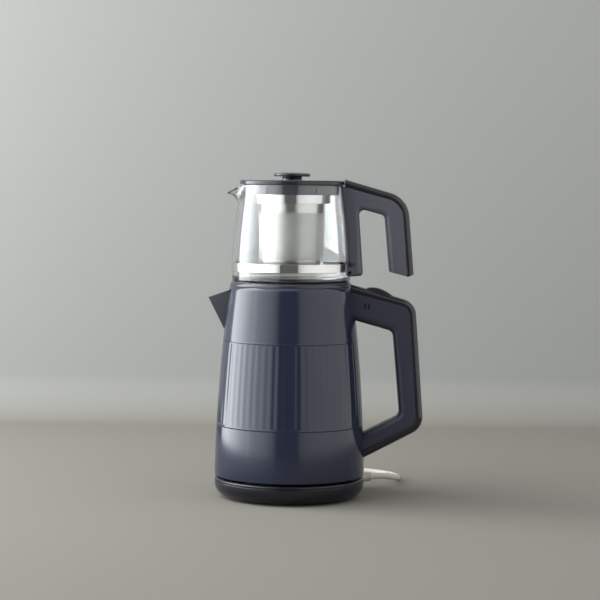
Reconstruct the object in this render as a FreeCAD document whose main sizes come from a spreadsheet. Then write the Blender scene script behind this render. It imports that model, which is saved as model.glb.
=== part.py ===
import FreeCAD, Part
import math
import os
import Sketcher
from FreeCAD import Placement, Rotation, Vector

# Two-tier electric tea maker: a power base on the table, a kettle that lifts off it,
# and a glass teapot with a strainer hung from its lid, which lifts off the kettle.
# +X is the handle side, -X the spout side and +Z is up. The underside of the feet is z = 0,
# and the kettle's axis stands beside the origin, so that the origin is under the middle of the whole.

# ---------------------------------------------------------------- driving sizes, millimetres
SIZES = {
    # common fits
    "wall": 2.4, "loose_fit": 0.3, "snug_fit": 0.1, "steel_sheet": 0.7,
    # power base
    "foot_stand": 2.0, "foot_radius": 5.0, "foot_circle": 55.0, "foot_count": 3,
    "foot_turn": 8.0,
    "base_radius": 77.3, "base_thickness": 19.2, "base_underside_radius": 66.0,
    "base_belly_height": 13.0, "base_edge_round": 16.0, "base_top_chamfer": 1.4,
    "base_plate": 2.0, "base_groove": 0.6, "base_groove_drop": 3.2,
    "base_boss_circle": 44.0, "base_boss_radius": 4.0,
    "hub_radius": 15.8, "hub_rise": 9.0, "hub_flange": 5.0, "hub_flange_thickness": 1.8,
    "hub_slot_inner": 7.0, "hub_slot_outer": 11.0, "hub_slot_depth": 11.0, "hub_bore": 3.0,
    "contact_sheet": 0.6, "contact_height": 8.0,
    # screws
    "screw_radius": 1.5, "screw_head_radius": 3.0, "screw_head": 1.2, "screw_length": 9.0,
    "screw_slot": 0.8,
    # mains lead
    "cord_diameter": 6.6, "cord_exit_angle": 35.0, "cord_exit_height": 12.0,
    "relief_length": 28.0, "relief_radius": 6.2, "relief_tip_radius": 4.2, "relief_rib": 0.7,
    "relief_flange": 2.0, "relief_flange_inset": 1.6, "wire_radius": 0.8,
    "coil_inner": 31.4, "coil_outer": 44.6, "coil_offset_x": 35.0, "coil_offset_y": 128.0,
    "plug_radius": 18.0, "plug_length": 34.0, "plug_sleeve": 24.0, "plug_grip": 20.7,
    "plug_rim_inset": 0.4,
    "plug_pin_radius": 2.4, "plug_pin_length": 19.0, "plug_pin_spacing": 19.0,
    # kettle casing
    "kettle_gap": 2.3, "casing_bottom_radius": 77.6, "casing_top_radius": 63.0,
    "casing_height": 195.5, "casing_bulge": 2.8,
    "bead_proud": 0.55, "bead_width": 1.7, "bead_low": 76.3, "bead_high": 162.8,
    "flute_count": 60, "flute_radius": 9.0, "flute_depth": 0.5, "flute_low": 79.8, "flute_high": 159.3,
    "post_circle": 66.0, "post_radius": 4.0, "post_height": 11.0, "post_count": 3,
    # water vessel and heater
    "vessel_gap": 1.0, "vessel_floor": 44.0, "vessel_corner": 8.0,
    "heater_radius": 56.0, "heater_plate": 2.5, "element_ring": 44.0, "element_tube": 3.2,
    "element_arc": 320.0,
    # collar that carries the teapot
    "collar_height": 4.3, "collar_opening": 40.0, "collar_rim": 1.2, "collar_lip": 0.8,
    "collar_round": 5.5, "collar_top_radius": 59.8, "collar_seat": 59.5, "seal_section": 1.2,
    # underside and coupler
    "floor_plate": 2.0, "floor_ring_inner": 52.0, "floor_ring_outer": 56.0,
    "coupler_radius": 24.6, "coupler_flange": 3.4, "coupler_top": 40.5,
    "pin_radius": 1.6, "blade_inner": 8.4, "blade_outer": 9.4, "blade_reach": 1.3,
    "bimetal_radius": 9.0, "bimetal_sheet": 0.6, "bimetal_offset": 13.0,
    # spout
    "spout_reach": 85.2, "spout_tip_height": 206.0, "spout_root_height": 212.6,
    "spout_low": 172.0, "spout_high": 214.0, "spout_half_width": 20.0, "spout_low_half_width": 4.0,
    "spout_low_reach": 68.0, "spout_nose": 1.5, "spout_wall": 2.2, "spout_inside": 50.0,
    "filter_low": 176.0, "filter_high": 213.0, "filter_hole": 1.5, "filter_pitch": 5.0,
    # kettle handle, in the plane of the axis
    "handle_width": 25.0, "handle_wall": 2.6,
    "handle_reach": 138.0, "handle_low_corner": 73.7, "handle_top_corner_x": 128.1,
    "handle_top_corner": 202.6, "handle_top_root": 219.9, "handle_low_root": 41.5,
    "handle_top_root_x": 64.0, "root_drop": 9.0,
    "spine_thickness": 7.2, "handle_outer_round": 17.0, "handle_low_round": 19.0,
    "gap_top_root": 183.8, "gap_top_corner_x": 105.4, "gap_top_corner": 172.9,
    "gap_low_corner_x": 113.4, "gap_low_corner": 86.0, "gap_low_root": 67.7, "gap_round": 8.0,
    "root_inside": 60.0, "root_top_x": 66.0, "root_low_x": 77.0,
    "rocker_start": 78.6, "rocker_end": 104.6, "rocker_half_width": 6.3, "rocker_proud": 4.2,
    "rocker_pivot_x": 92.0, "rocker_pivot_height": 207.8, "rocker_pin_radius": 1.0,
    "rocker_gap": 0.7, "rocker_depth": 5.6, "rocker_curve": 32.0,
    "lens_width": 1.6, "lens_height": 5.6, "lens_first_x": 75.7, "lens_pitch": 3.8,
    "lens_low": 195.8, "lens_proud": 0.2,
    "switch_length": 20.0, "switch_height": 10.0, "switch_thickness": 6.4, "switch_low": 188.0,
    "switch_start": 84.0, "board_length": 16.0, "board_height": 12.0, "board_drop": 3.4,
    "board_sheet": 1.6,
    "led_radius": 1.4, "post_pin_radius": 1.2,
    # glass teapot
    "jug_radius": 61.0, "jug_rim_radius": 53.0, "jug_shoulder": 25.0, "jug_height": 100.1,
    "jug_bulge": 0.8, "jug_wall": 3.2, "jug_floor": 4.0, "jug_foot_round": 5.0,
    "lip_reach": 68.4, "lip_drop": 9.6, "lip_half_angle": 21.7, "lip_lean": 18.0, "lip_height": 26.0,
    "lip_throat": 6.0,
    "band_low": 11.5, "band_height": 8.5, "band_sheet": 0.7,
    # teapot handle
    "grip_width": 25.0, "grip_overlap": 8.0, "grip_reach": 126.0, "grip_low": 230.8, "grip_corner_x": 119.2,
    "grip_corner": 310.1, "grip_root": 327.9, "grip_spine": 6.8, "grip_round": 26.0,
    "grip_inner_low_x": 100.9, "grip_inner_low": 235.4, "grip_gap_corner_x": 95.6,
    "grip_gap_corner": 291.8, "column_corner_x": 68.8, "column_corner": 298.9,
    "column_low_x": 73.7, "column_low": 230.4, "column_round": 7.0, "grip_gap_round": 5.0,
    "clip_sheet": 0.6, "clip_width": 9.0, "clip_drop": 5.0,
    "clip_tail": 4.0,
    # lid, knob and strainer
    "lid_radius": 54.0, "lid_thickness": 4.4, "lid_plate": 2.5, "lid_edge": 3.5, "lid_chamfer": 0.9,
    "skirt_radius": 48.4, "skirt_wall": 1.5, "skirt_drop": 10.4, "skirt_slot": 2.2,
    "skirt_slot_count": 6, "skirt_web_drop": 2.6, "skirt_web": 1.4,
    "knob_stem_radius": 10.6, "knob_stem": 4.0, "knob_radius": 18.8, "knob_edge": 2.4, "knob_dome": 1.9,
    "boss_radius": 36.4, "boss_wall": 1.6, "boss_drop": 18.1, "lug_reach": 1.7, "lug_height": 2.0,
    "lug_count": 3, "lug_angle": 20.0,
    "neck_radius": 40.0, "neck_wall": 1.4, "neck_height": 8.7, "neck_flange": 1.4,
    "neck_flange_angle": 60.0, "basket_top_radius": 34.5, "basket_bottom_radius": 33.0,
    "basket_sheet": 0.6, "basket_depth": 61.9, "play": 0.5, "lift_play": 0.3,
}

doc = FreeCAD.newDocument("tea_maker")
sheet = doc.addObject("Spreadsheet::Sheet", "sizes")
for row, (name, number) in enumerate(SIZES.items(), start=1):
    sheet.set(f"A{row}", name)
    sheet.set(f"B{row}", str(number))
    sheet.setAlias(f"B{row}", name)
doc.recompute()


# ---------------------------------------------------------------- lengths that carry their expression
class Length:
    """A number together with the spreadsheet expression that gives it."""

    def __init__(self, number, text):
        self.number = number
        self.text = text

    def __add__(self, other):
        other = as_length(other)
        return Length(self.number + other.number, f"({self.text} + {other.text})")

    def __sub__(self, other):
        other = as_length(other)
        return Length(self.number - other.number, f"({self.text} - {other.text})")

    def __mul__(self, other):
        other = as_length(other)
        return Length(self.number * other.number, f"({self.text} * {other.text})")

    def __truediv__(self, other):
        other = as_length(other)
        return Length(self.number / other.number, f"({self.text} / {other.text})")

    def __radd__(self, other):
        return as_length(other) + self

    def __rsub__(self, other):
        return as_length(other) - self

    def __rmul__(self, other):
        return as_length(other) * self

    def __neg__(self):
        return Length(-self.number, f"(0 - {self.text})")


def as_length(value):
    return value if isinstance(value, Length) else Length(float(value), repr(float(value)))


def root(value):
    return Length(math.sqrt(value.number), f"sqrt({value.text})")


def cosine(angle):
    return Length(math.cos(math.radians(angle.number)), f"cos({angle.text})")


def sine(angle):
    return Length(math.sin(math.radians(angle.number)), f"sin({angle.text})")


class Sheet:
    """size.wall is the cell with that alias."""

    def __getattr__(self, name):
        return Length(float(sheet.get(name)), f"sizes.{name}")


size = Sheet()

# ---------------------------------------------------------------- levels and radii worked out once
axis_x = (size.spout_reach - size.handle_reach) / 2
base_floor = size.foot_stand
base_top = base_floor + size.base_thickness
hub_top = base_top + size.hub_rise
hub_bottom = base_top - size.wall - size.hub_flange_thickness
slot_floor = hub_top - size.hub_slot_depth
plate_radius = size.base_underside_radius - size.wall
casing_low = base_top + size.kettle_gap
casing_high = casing_low + size.casing_height
collar_top = casing_high + size.collar_height
jug_low = collar_top - size.collar_lip
jug_high = jug_low + size.jug_height
lid_top = jug_high + size.lid_thickness
lid_under = lid_top - size.lid_plate
boss_low = jug_high - size.boss_drop
neck_low = boss_low - size.lift_play - size.basket_sheet
basket_low = neck_low - size.basket_depth

chord_run = size.casing_bottom_radius - size.casing_top_radius
casing_chord = root(chord_run * chord_run + size.casing_height * size.casing_height)
casing_curve = casing_chord * casing_chord / (8 * size.casing_bulge) + size.casing_bulge / 2
casing_centre_x = ((size.casing_bottom_radius + size.casing_top_radius) / 2
                   - size.casing_height / casing_chord * (casing_curve - size.casing_bulge))
casing_centre_z = ((casing_low + casing_high) / 2
                   - chord_run / casing_chord * (casing_curve - size.casing_bulge))


def casing_radius(height):
    """Outer radius of the kettle's casing at a height."""
    rise = height - casing_centre_z
    return casing_centre_x + root(casing_curve * casing_curve - rise * rise)


jug_run = size.jug_radius - size.jug_rim_radius
jug_rise = size.jug_height - size.jug_shoulder
jug_curve = ((jug_run * jug_run + jug_rise * jug_rise) / (8 * size.jug_bulge)
             + size.jug_bulge / 2)
jug_shoulder_height = jug_low + size.jug_shoulder

# ---------------------------------------------------------------- drawing and feature helpers
pieces = []


def bind(item, prop, value):
    item.setExpression(prop, as_length(value).text)


def body(label):
    piece = doc.addObject("PartDesign::Body", label)
    piece.Label = label
    bind(piece, "Placement.Base.x", axis_x)
    pieces.append(piece)
    return piece


def sketch_on(piece, name, plane, offset=0):
    drawing = piece.newObject("Sketcher::SketchObject", name)
    support = [item for item in piece.Origin.OriginFeatures if item.Role == plane][0]
    drawing.AttachmentSupport = [(support, "")]
    drawing.MapMode = "FlatFace"
    bind(drawing, "AttachmentOffset.Base.z", offset)
    return drawing


def pin_point(drawing, edge, end, x, y):
    """Fixes one end of an edge at a place worked out from the sheet."""
    for kind, place in (("DistanceX", as_length(x)), ("DistanceY", as_length(y))):
        index = drawing.addConstraint(Sketcher.Constraint(kind, -1, 1, edge, end, place.number))
        bind(drawing, f"Constraints[{index}]", place)


def outline(drawing, corners):
    """Closes a loop through the corners. A corner's third value is the radius of the arc that leads
    from it to the next one: above zero it turns left, below zero it turns right."""
    places = [(as_length(corner[0]), as_length(corner[1])) for corner in corners]
    edges = []
    for index, corner in enumerate(corners):
        following = places[(index + 1) % len(corners)]
        start = Vector(places[index][0].number, places[index][1].number, 0)
        end = Vector(following[0].number, following[1].number, 0)
        if len(corner) < 3:
            edge = drawing.addGeometry(Part.LineSegment(start, end), False)
            edges.append((edge, 1, 2))
            continue
        bend = as_length(corner[2])
        radius = abs(bend.number)
        side = 1 if bend.number > 0 else -1
        along = end - start
        reach = math.sqrt(radius * radius - along.Length ** 2 / 4)
        across = Vector(-along.y, along.x, 0).normalize() * side * reach
        centre = (start + end) / 2 + across
        first, last = (start, end) if side > 0 else (end, start)
        from_angle = math.atan2(first.y - centre.y, first.x - centre.x)
        to_angle = math.atan2(last.y - centre.y, last.x - centre.x)
        circle = Part.Circle(centre, Vector(0, 0, 1), radius)
        edge = drawing.addGeometry(Part.ArcOfCircle(circle, from_angle, to_angle), False)
        edges.append((edge, 1, 2) if side > 0 else (edge, 2, 1))
        limit = drawing.addConstraint(Sketcher.Constraint("Radius", edge, radius))
        bind(drawing, f"Constraints[{limit}]", bend if side > 0 else -bend)
    for index, (edge, start_end, far_end) in enumerate(edges):
        next_edge, next_start, next_far = edges[(index + 1) % len(edges)]
        drawing.addConstraint(Sketcher.Constraint("Coincident", edge, far_end, next_edge, next_start))
        pin_point(drawing, edge, start_end, *places[index])
    return drawing


def box_corners(x_low, y_low, x_high, y_high):
    return [(x_low, y_low), (x_high, y_low), (x_high, y_high), (x_low, y_high)]


def turned(piece, name, corners, cut=False, centre=None, angle=360, middle=False):
    """Revolves an outline in the XZ plane about Z, or about an upright line at x = centre."""
    drawing = sketch_on(piece, name + "_profile", "XZ_Plane")
    outline(drawing, corners)
    axis = "V_Axis"
    if centre is not None:
        centre = as_length(centre)
        upright = Part.LineSegment(Vector(centre.number, 0, 0), Vector(centre.number, 10, 0))
        line = drawing.addGeometry(upright, True)
        pin_point(drawing, line, 1, centre, 0)
        pin_point(drawing, line, 2, centre, 10)
        axis = "Axis0"
    feature = piece.newObject("PartDesign::Groove" if cut else "PartDesign::Revolution", name)
    feature.Profile = drawing
    feature.ReferenceAxis = (drawing, [axis])
    bind(feature, "Angle", angle)
    if middle:
        feature.Midplane = True
    return feature


def block(piece, name, plane, corners, length, start=0, cut=False, middle=False):
    """Pads or pockets an outline along its plane's normal, or both ways from it."""
    drawing = sketch_on(piece, name + "_outline", plane, start)
    for loop in corners if isinstance(corners[0], list) else [corners]:
        outline(drawing, loop)
    return extrude(piece, name, drawing, length, cut, middle)


def rods(piece, name, plane, centres, radius, length, start=0, cut=False, middle=False):
    """Pads or pockets circles of one radius."""
    drawing = sketch_on(piece, name + "_circles", plane, start)
    radius = as_length(radius)
    for x, y in centres:
        place = Vector(as_length(x).number, as_length(y).number, 0)
        circle = drawing.addGeometry(Part.Circle(place, Vector(0, 0, 1), radius.number), False)
        pin_point(drawing, circle, 3, x, y)
        limit = drawing.addConstraint(Sketcher.Constraint("Radius", circle, radius.number))
        bind(drawing, f"Constraints[{limit}]", radius)
    return extrude(piece, name, drawing, length, cut, middle)


def extrude(piece, name, drawing, length, cut, middle):
    feature = piece.newObject("PartDesign::Pocket" if cut else "PartDesign::Pad", name)
    feature.Profile = drawing
    bind(feature, "Length", length)
    if middle:
        feature.SideType = "Symmetric"
    elif cut:
        feature.Reversed = True
    return feature


def around(piece, name, originals, count):
    """Repeats features about Z."""
    pattern = piece.newObject("PartDesign::PolarPattern", name)
    pattern.Originals = originals
    drawing = originals[0].Profile[0]
    upright = "V_Axis" if drawing.AttachmentSupport[0][0].Role == "XZ_Plane" else "N_Axis"
    pattern.Axis = (drawing, [upright])
    pattern.Angle = 360
    bind(pattern, "Occurrences", count)
    piece.Tip = pattern
    return pattern


def loft(piece, name, sections, cut=False):
    """Lofts through outlines drawn on level planes, given as (height, corners)."""
    drawings = []
    for index, (height, corners) in enumerate(sections):
        drawings.append(outline(sketch_on(piece, f"{name}_{index}", "XY_Plane", height), corners))
    kind = "PartDesign::SubtractiveLoft" if cut else "PartDesign::AdditiveLoft"
    feature = piece.newObject(kind, name)
    feature.Profile = drawings[0]
    feature.Sections = drawings[1:]
    feature.Ruled = True
    return feature


def round_edges(piece, name, radius, picks):
    """Fillets the edges whose middle is nearest to each of the given points of the solid so far."""
    doc.recompute()
    base = piece.Tip
    names = []
    for pick in picks:
        spot = Vector(*[as_length(value).number for value in pick])
        best = min(range(len(base.Shape.Edges)), key=lambda index: middle_gap(base, index, spot))
        names.append(f"Edge{best + 1}")
    feature = piece.newObject("PartDesign::Fillet", name)
    feature.Base = (base, sorted(set(names)))
    bind(feature, "Radius", radius)
    return feature


def middle_gap(base, index, spot):
    edge = base.Shape.Edges[index]
    middle = edge.valueAt((edge.FirstParameter + edge.LastParameter) / 2)
    return (middle - spot).Length


def casing_inside(inset, low, high, inner=0):
    """Outline between an inner radius and the casing's outer surface moved inwards by inset."""
    return [(inner, low), (casing_radius(low) - inset, low, casing_curve),
            (casing_radius(high) - inset, high), (inner, high)]


def casing_seat(piece):
    """Cuts away what the casing and the collar above it take up."""
    rim = size.casing_top_radius
    over = collar_top + size.spine_thickness
    turned(piece, "seat", [
        (0, casing_low), (size.casing_bottom_radius, casing_low, casing_curve), (rim, casing_high),
        (rim, over), (0, over)], cut=True)


def screw_set(label, circle, seat, count, upwards=True):
    """Pan-head screws about the axis: seat is the level of the head's bearing face."""
    piece = body(label)
    way = 1 if upwards else -1
    head = seat - way * size.screw_head
    tip = seat + way * size.screw_length
    turned(piece, "screw", [
        (circle, head), (circle + size.screw_head_radius, head),
        (circle + size.screw_head_radius, seat), (circle + size.screw_radius, seat),
        (circle + size.screw_radius, tip), (circle, tip)], centre=circle)
    half = size.screw_slot / 2
    slot = block(piece, "slot", "XY_Plane", box_corners(
        circle - size.screw_head_radius, -half, circle + size.screw_head_radius, half),
        size.screw_head / 2, start=head if upwards else seat + size.screw_head / 2, cut=True)
    around(piece, "set", [piece.Group[1], slot], count)
    return piece


# ---------------------------------------------------------------- power base
def make_base_cover():
    piece = body("base_cover")
    radius = size.base_radius
    belly = base_floor + size.base_belly_height
    groove = base_top - size.base_groove_drop
    turned(piece, "shell", [
        (plate_radius + size.snug_fit, base_floor),
        (size.base_underside_radius, base_floor, size.base_edge_round),
        (radius, belly), (radius, groove - size.base_groove / 2),
        (radius - size.base_groove, groove - size.base_groove / 2),
        (radius - size.base_groove, groove + size.base_groove / 2),
        (radius, groove + size.base_groove / 2), (radius, base_top - size.base_top_chamfer),
        (radius - size.base_top_chamfer, base_top),
        (size.hub_radius + size.loose_fit, base_top),
        (size.hub_radius + size.loose_fit, base_top - size.wall),
        (radius - size.wall, base_top - size.wall),
        (radius - size.wall, belly, -(size.base_edge_round - size.wall)),
        (plate_radius + size.snug_fit, base_floor + size.base_plate)])
    boss_foot = base_floor + size.base_plate
    boss = rods(piece, "boss", "XY_Plane", [(size.base_boss_circle, 0)], size.base_boss_radius,
                base_top - size.wall - boss_foot, start=boss_foot)
    bore = rods(piece, "boss_bore", "XY_Plane", [(size.base_boss_circle, 0)],
                size.screw_radius + size.snug_fit, size.screw_length + 1, start=boss_foot, cut=True)
    around(piece, "bosses", [boss, bore], size.foot_count)
    hole = piece.newObject("PartDesign::SubtractiveCylinder", "cord_hole")
    hole.MapMode = "Deactivated"
    turn = size.cord_exit_angle
    hole.Placement = Placement(Vector(), Rotation(Vector(0, 0, 1), radial(turn)))
    inside = size.base_underside_radius - size.relief_flange_inset
    bind(hole, "Placement.Base.x", inside * cosine(turn))
    bind(hole, "Placement.Base.y", inside * sine(turn))
    bind(hole, "Placement.Base.z", size.cord_exit_height)
    bind(hole, "Radius", size.relief_tip_radius + size.relief_rib + size.snug_fit)
    bind(hole, "Height", size.base_radius)


def radial(turn):
    """Level direction at an angle about the axis."""
    angle = math.radians(turn.number)
    return Vector(math.cos(angle), math.sin(angle), 0)


def make_base_bottom_plate():
    piece = body("base_bottom_plate")
    top = base_floor + size.base_plate
    turned(piece, "plate", box_corners(0, base_floor, plate_radius, top))
    hole = rods(piece, "screw_hole", "XY_Plane", [(size.base_boss_circle, 0)],
                size.screw_radius + size.snug_fit, size.base_plate, start=base_floor, cut=True)
    sink = rods(piece, "screw_sink", "XY_Plane", [(size.base_boss_circle, 0)],
                size.screw_head_radius + size.loose_fit, size.screw_head, start=base_floor, cut=True)
    around(piece, "screw_holes", [hole, sink], size.foot_count)


def make_base_feet():
    piece = body("base_feet")
    edge = size.foot_circle + size.foot_radius
    foot = turned(piece, "foot", [
        (size.foot_circle, 0), (edge - size.foot_stand / 3, 0, size.foot_stand / 3),
        (edge, size.foot_stand / 3), (edge, base_floor), (size.foot_circle, base_floor)],
        centre=size.foot_circle)
    around(piece, "feet", [foot], size.foot_count)
    # one foot stands at the front left, so the set is turned about the axis
    piece.Placement = Placement(Vector(), Rotation(Vector(0, 0, 1), size.foot_turn.number))
    bind(piece, "Placement.Base.x", axis_x)


def make_base_socket():
    piece = body("base_socket")
    flange_top = hub_bottom + size.hub_flange_thickness
    chamfer = size.hub_slot_outer / 10
    turned(piece, "hub", [
        (0, hub_bottom), (size.hub_radius + size.hub_flange, hub_bottom),
        (size.hub_radius + size.hub_flange, flange_top), (size.hub_radius, flange_top),
        (size.hub_radius, hub_top - chamfer), (size.hub_radius - chamfer, hub_top),
        (size.hub_slot_outer, hub_top), (size.hub_slot_outer, slot_floor),
        (size.hub_slot_inner, slot_floor), (size.hub_slot_inner, hub_top),
        (size.hub_bore, hub_top), (size.hub_bore, slot_floor - 1), (0, slot_floor - 1)])


def make_base_contacts():
    piece = body("base_contacts")
    sheet_wall = size.contact_sheet
    gap = size.snug_fit
    rings = (("earth", size.hub_bore - gap - sheet_wall, slot_floor - 1),
             ("neutral", size.hub_slot_inner + gap, slot_floor),
             ("live", size.hub_slot_outer - gap - sheet_wall, slot_floor))
    for name, inner, low in rings:
        turned(piece, name, box_corners(inner, low, inner + sheet_wall, low + size.contact_height))


# ---------------------------------------------------------------- mains lead
def make_strain_relief():
    piece = body("cord_strain_relief")
    rib = size.relief_length / 14
    neck = size.relief_tip_radius + size.relief_rib
    inner_face = size.base_underside_radius - size.relief_flange_inset
    outer_face = size.base_radius + size.loose_fit
    corners = [(inner_face - size.relief_flange, 0), (outer_face + size.relief_length, 0),
               (outer_face + size.relief_length, size.relief_tip_radius)]
    for index in range(6):
        share = (index + 1) / 7
        radius = size.relief_tip_radius + (size.relief_radius - size.relief_tip_radius) * share
        place = outer_face + size.relief_length - 2 * rib * (index + 1)
        corners += [(place + rib, radius - size.relief_rib / 2), (place + rib, radius + size.relief_rib),
                    (place, radius + size.relief_rib), (place, radius - size.relief_rib / 2)]
    corners += [(outer_face, size.relief_radius), (outer_face, neck), (inner_face, neck),
                (inner_face, size.relief_radius), (inner_face - size.relief_flange, size.relief_radius)]
    drawing = outline(sketch_on(piece, "relief_profile", "XY_Plane"), corners)
    feature = piece.newObject("PartDesign::Revolution", "relief")
    feature.Profile = drawing
    feature.ReferenceAxis = (drawing, ["H_Axis"])
    feature.Angle = 360
    piece.Placement = Placement(Vector(), Rotation(Vector(0, 0, 1), size.cord_exit_angle.number))
    bind(piece, "Placement.Base.x", axis_x)
    bind(piece, "Placement.Base.z", size.cord_exit_height)


def tube_shape(label, points, radius):
    """Tube of straight runs and tangent arcs through hand-chosen points, in the axis' own frame."""
    corners = [Vector(*point) for point in points]
    edges, start = [], corners[0]
    for before, corner, after in zip(corners, corners[1:], corners[2:]):
        back, ahead = before - corner, after - corner
        half_turn = (math.pi - back.getAngle(ahead)) / 2
        reach = 0.45 * min(back.Length, ahead.Length)
        bend = reach / math.tan(half_turn)
        print(f"{label}: radius {bend:.1f} mm at {tuple(corner)}")
        first = corner + back.normalize() * reach
        last = corner + ahead.normalize() * reach
        middle = corner + (first + last - corner * 2).normalize() * (
            bend / math.cos(half_turn) - bend)
        edges += [Part.LineSegment(start, first).toShape(), Part.Arc(first, middle, last).toShape()]
        start = last
    edges.append(Part.LineSegment(start, corners[-1]).toShape())
    path = Part.Wire(edges)
    ring = Part.Wire(Part.Circle(corners[0], corners[1] - corners[0], radius).toShape())
    tube = path.makePipeShell([ring], True, False)
    print(f"{label}: {path.Length:.1f} mm long, volume over section times length "
          f"{tube.Volume / (math.pi * radius ** 2 * path.Length):.4f}")
    return tube


def placed_shape(label, shape):
    piece = doc.addObject("Part::Feature", label)
    piece.Label = label
    piece.Shape = shape
    bind(piece, "Placement.Base.x", axis_x)
    pieces.append(piece)


def cord_tube(label, points):
    placed_shape(label, tube_shape(label, points, size.cord_diameter.number / 2))


def make_base_wires():
    """Three cores from the lead's inner end to the socket, side by side."""
    start = (size.base_underside_radius - size.relief_flange_inset - size.relief_flange).number
    end = (size.hub_radius + size.hub_flange).number
    level = size.cord_exit_height.number
    rise = (hub_bottom + size.hub_flange_thickness / 2).number - level
    turn = size.cord_exit_angle.number
    tubes = []
    for side in (-1, 0, 1):
        spots = []
        for share, spread, lift in ((0, 2.4, 0), (0.3, 3.4, -0.2), (0.7, 6, 0.55), (1, 7, 1)):
            reach = start + (end - start) * share
            if share == 1:
                reach = math.sqrt(end ** 2 - (side * spread) ** 2)
            spot = Rotation(Vector(0, 0, 1), turn).multVec(Vector(reach, side * spread, 0))
            spots.append((spot.x, spot.y, level + rise * lift))
        tubes.append(tube_shape("base_wires", spots, size.wire_radius.number))
    placed_shape("base_wires", Part.makeCompound(tubes))


# The two switch wires run from the switch down the grip to the handle's low root.
SWITCH_WIRE = [(88.0, 187.7), (94.0, 184.1), (107.6, 182.2), (117.3, 172.0), (121.5, 102.0),
               (121.8, 87.0), (117.5, 77.6), (106.0, 71.2), (82.0, 58.8)]


def make_handle_wires():
    tubes = []
    for side in (-2.2, 2.2):
        spots = [(x, side, z) for x, z in SWITCH_WIRE]
        tubes.append(tube_shape("handle_wires", spots, size.wire_radius.number))
    placed_shape("handle_wires", Part.makeCompound(tubes))


# Points of the lead beside the axis: from the relief's tip, down to the table, back behind the
# kettle and into the coil; then from the coil over its outer turn into the plug's sleeve.
def relief_tip():
    reach = (size.base_radius + size.loose_fit + size.relief_length).number
    tip = radial(size.cord_exit_angle) * reach
    return (tip.x, tip.y, size.cord_exit_height.number)


LEAD_POINTS = [(99.6, 69.7, 12.0), (113.0, 85.5, 7.6), (119.0, 106.5, 3.8), (114.2, 129.5, 3.4),
               (98.0, 149.0, 3.4), (75.0, 160.0, 3.4), (43.6, 168.2, 3.4)]
TAIL_POINTS = [(50.0, 159.5, 4.0), (31.0, 166.0, 9.3), (12.0, 170.0, 12.0), (-4.0, 171.5, 13.5)]


def make_cord():
    cord_tube("cord_lead", [relief_tip()] + LEAD_POINTS)
    cord_tube("cord_tail", TAIL_POINTS)
    coil = body("cord_coil")
    round_off = size.cord_diameter / 4
    turned(coil, "coil", [
        (size.coil_inner + round_off, 0), (size.coil_outer - round_off, 0, round_off),
        (size.coil_outer, round_off), (size.coil_outer, size.cord_diameter - round_off, round_off),
        (size.coil_outer - round_off, size.cord_diameter),
        (size.coil_inner + round_off, size.cord_diameter, round_off),
        (size.coil_inner, size.cord_diameter - round_off),
        (size.coil_inner, round_off, round_off)])
    bind(coil, "Placement.Base.x", axis_x + size.coil_offset_x)
    bind(coil, "Placement.Base.y", size.coil_offset_y)


def plug_frame(piece):
    """Lays a piece that is drawn along +X on the table: its rear end at the cord's last point."""
    end = Vector(*TAIL_POINTS[-1])
    last_run = end - Vector(*TAIL_POINTS[-2])
    heading = math.degrees(math.atan2(last_run.y, last_run.x))
    rim = (size.plug_radius - size.plug_rim_inset).number
    tilt = math.degrees(math.asin((rim - end.z) / (size.plug_sleeve + size.plug_grip).number))
    piece.Placement = Placement(end, Rotation(Vector(0, 0, 1), heading)
                                * Rotation(Vector(0, 1, 0), -tilt))
    bind(piece, "Placement.Base.x", axis_x + end.x)


def make_plug():
    piece = body("mains_plug")
    grip = size.plug_sleeve + size.plug_grip
    face = size.plug_sleeve + size.plug_length
    rim = size.plug_radius - size.plug_rim_inset
    rib = size.plug_sleeve / 10
    tip = size.relief_tip_radius
    corners = [(0, 0), (face, 0), (face, rim - 1), (face - 1, rim), (grip, rim),
               (grip - 2, size.plug_radius * 0.78), (size.plug_sleeve + 3, size.plug_radius * 0.6)]
    for index in range(4):
        place = size.plug_sleeve - 2 * rib * index
        radius = tip + size.relief_rib * (2.2 - index * 0.4)
        corners += [(place, radius), (place - rib, radius),
                    (place - rib, tip), (place - 2 * rib, tip)]
    corners.append((0, tip))
    drawing = outline(sketch_on(piece, "plug_profile", "XY_Plane"), corners)
    feature = piece.newObject("PartDesign::Revolution", "plug")
    feature.Profile = drawing
    feature.ReferenceAxis = (drawing, ["H_Axis"])
    feature.Angle = 360
    plug_frame(piece)
    pins = body("plug_pins")
    half = size.plug_pin_spacing / 2
    rods(pins, "pins", "YZ_Plane", [(-half, 0), (half, 0)], size.plug_pin_radius,
         size.plug_pin_length, start=face)
    plug_frame(pins)


# ---------------------------------------------------------------- kettle
def spout_sections(inset):
    """Level sections of the beak, moved inwards by inset: a wedge that widens upwards."""
    sections = []
    high_reach = (size.spout_low_reach + (size.spout_reach - size.spout_low_reach)
                  * (size.spout_high - size.spout_low) / (size.spout_tip_height - size.spout_low))
    for height, reach, half in ((size.spout_low, size.spout_low_reach, size.spout_low_half_width),
                                (size.spout_high, high_reach, size.spout_half_width)):
        side = half - inset * 0.9
        nose = reach - inset * 1.6
        tip = size.spout_nose - inset * 0.4
        shoulder = size.spout_inside + 9
        sections.append((height + inset * 0.5, [
            (-nose, -tip), (-shoulder, -side), (-size.spout_inside, -side),
            (-size.spout_inside, side), (-shoulder, side), (-nose, tip)]))
    return sections


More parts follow.
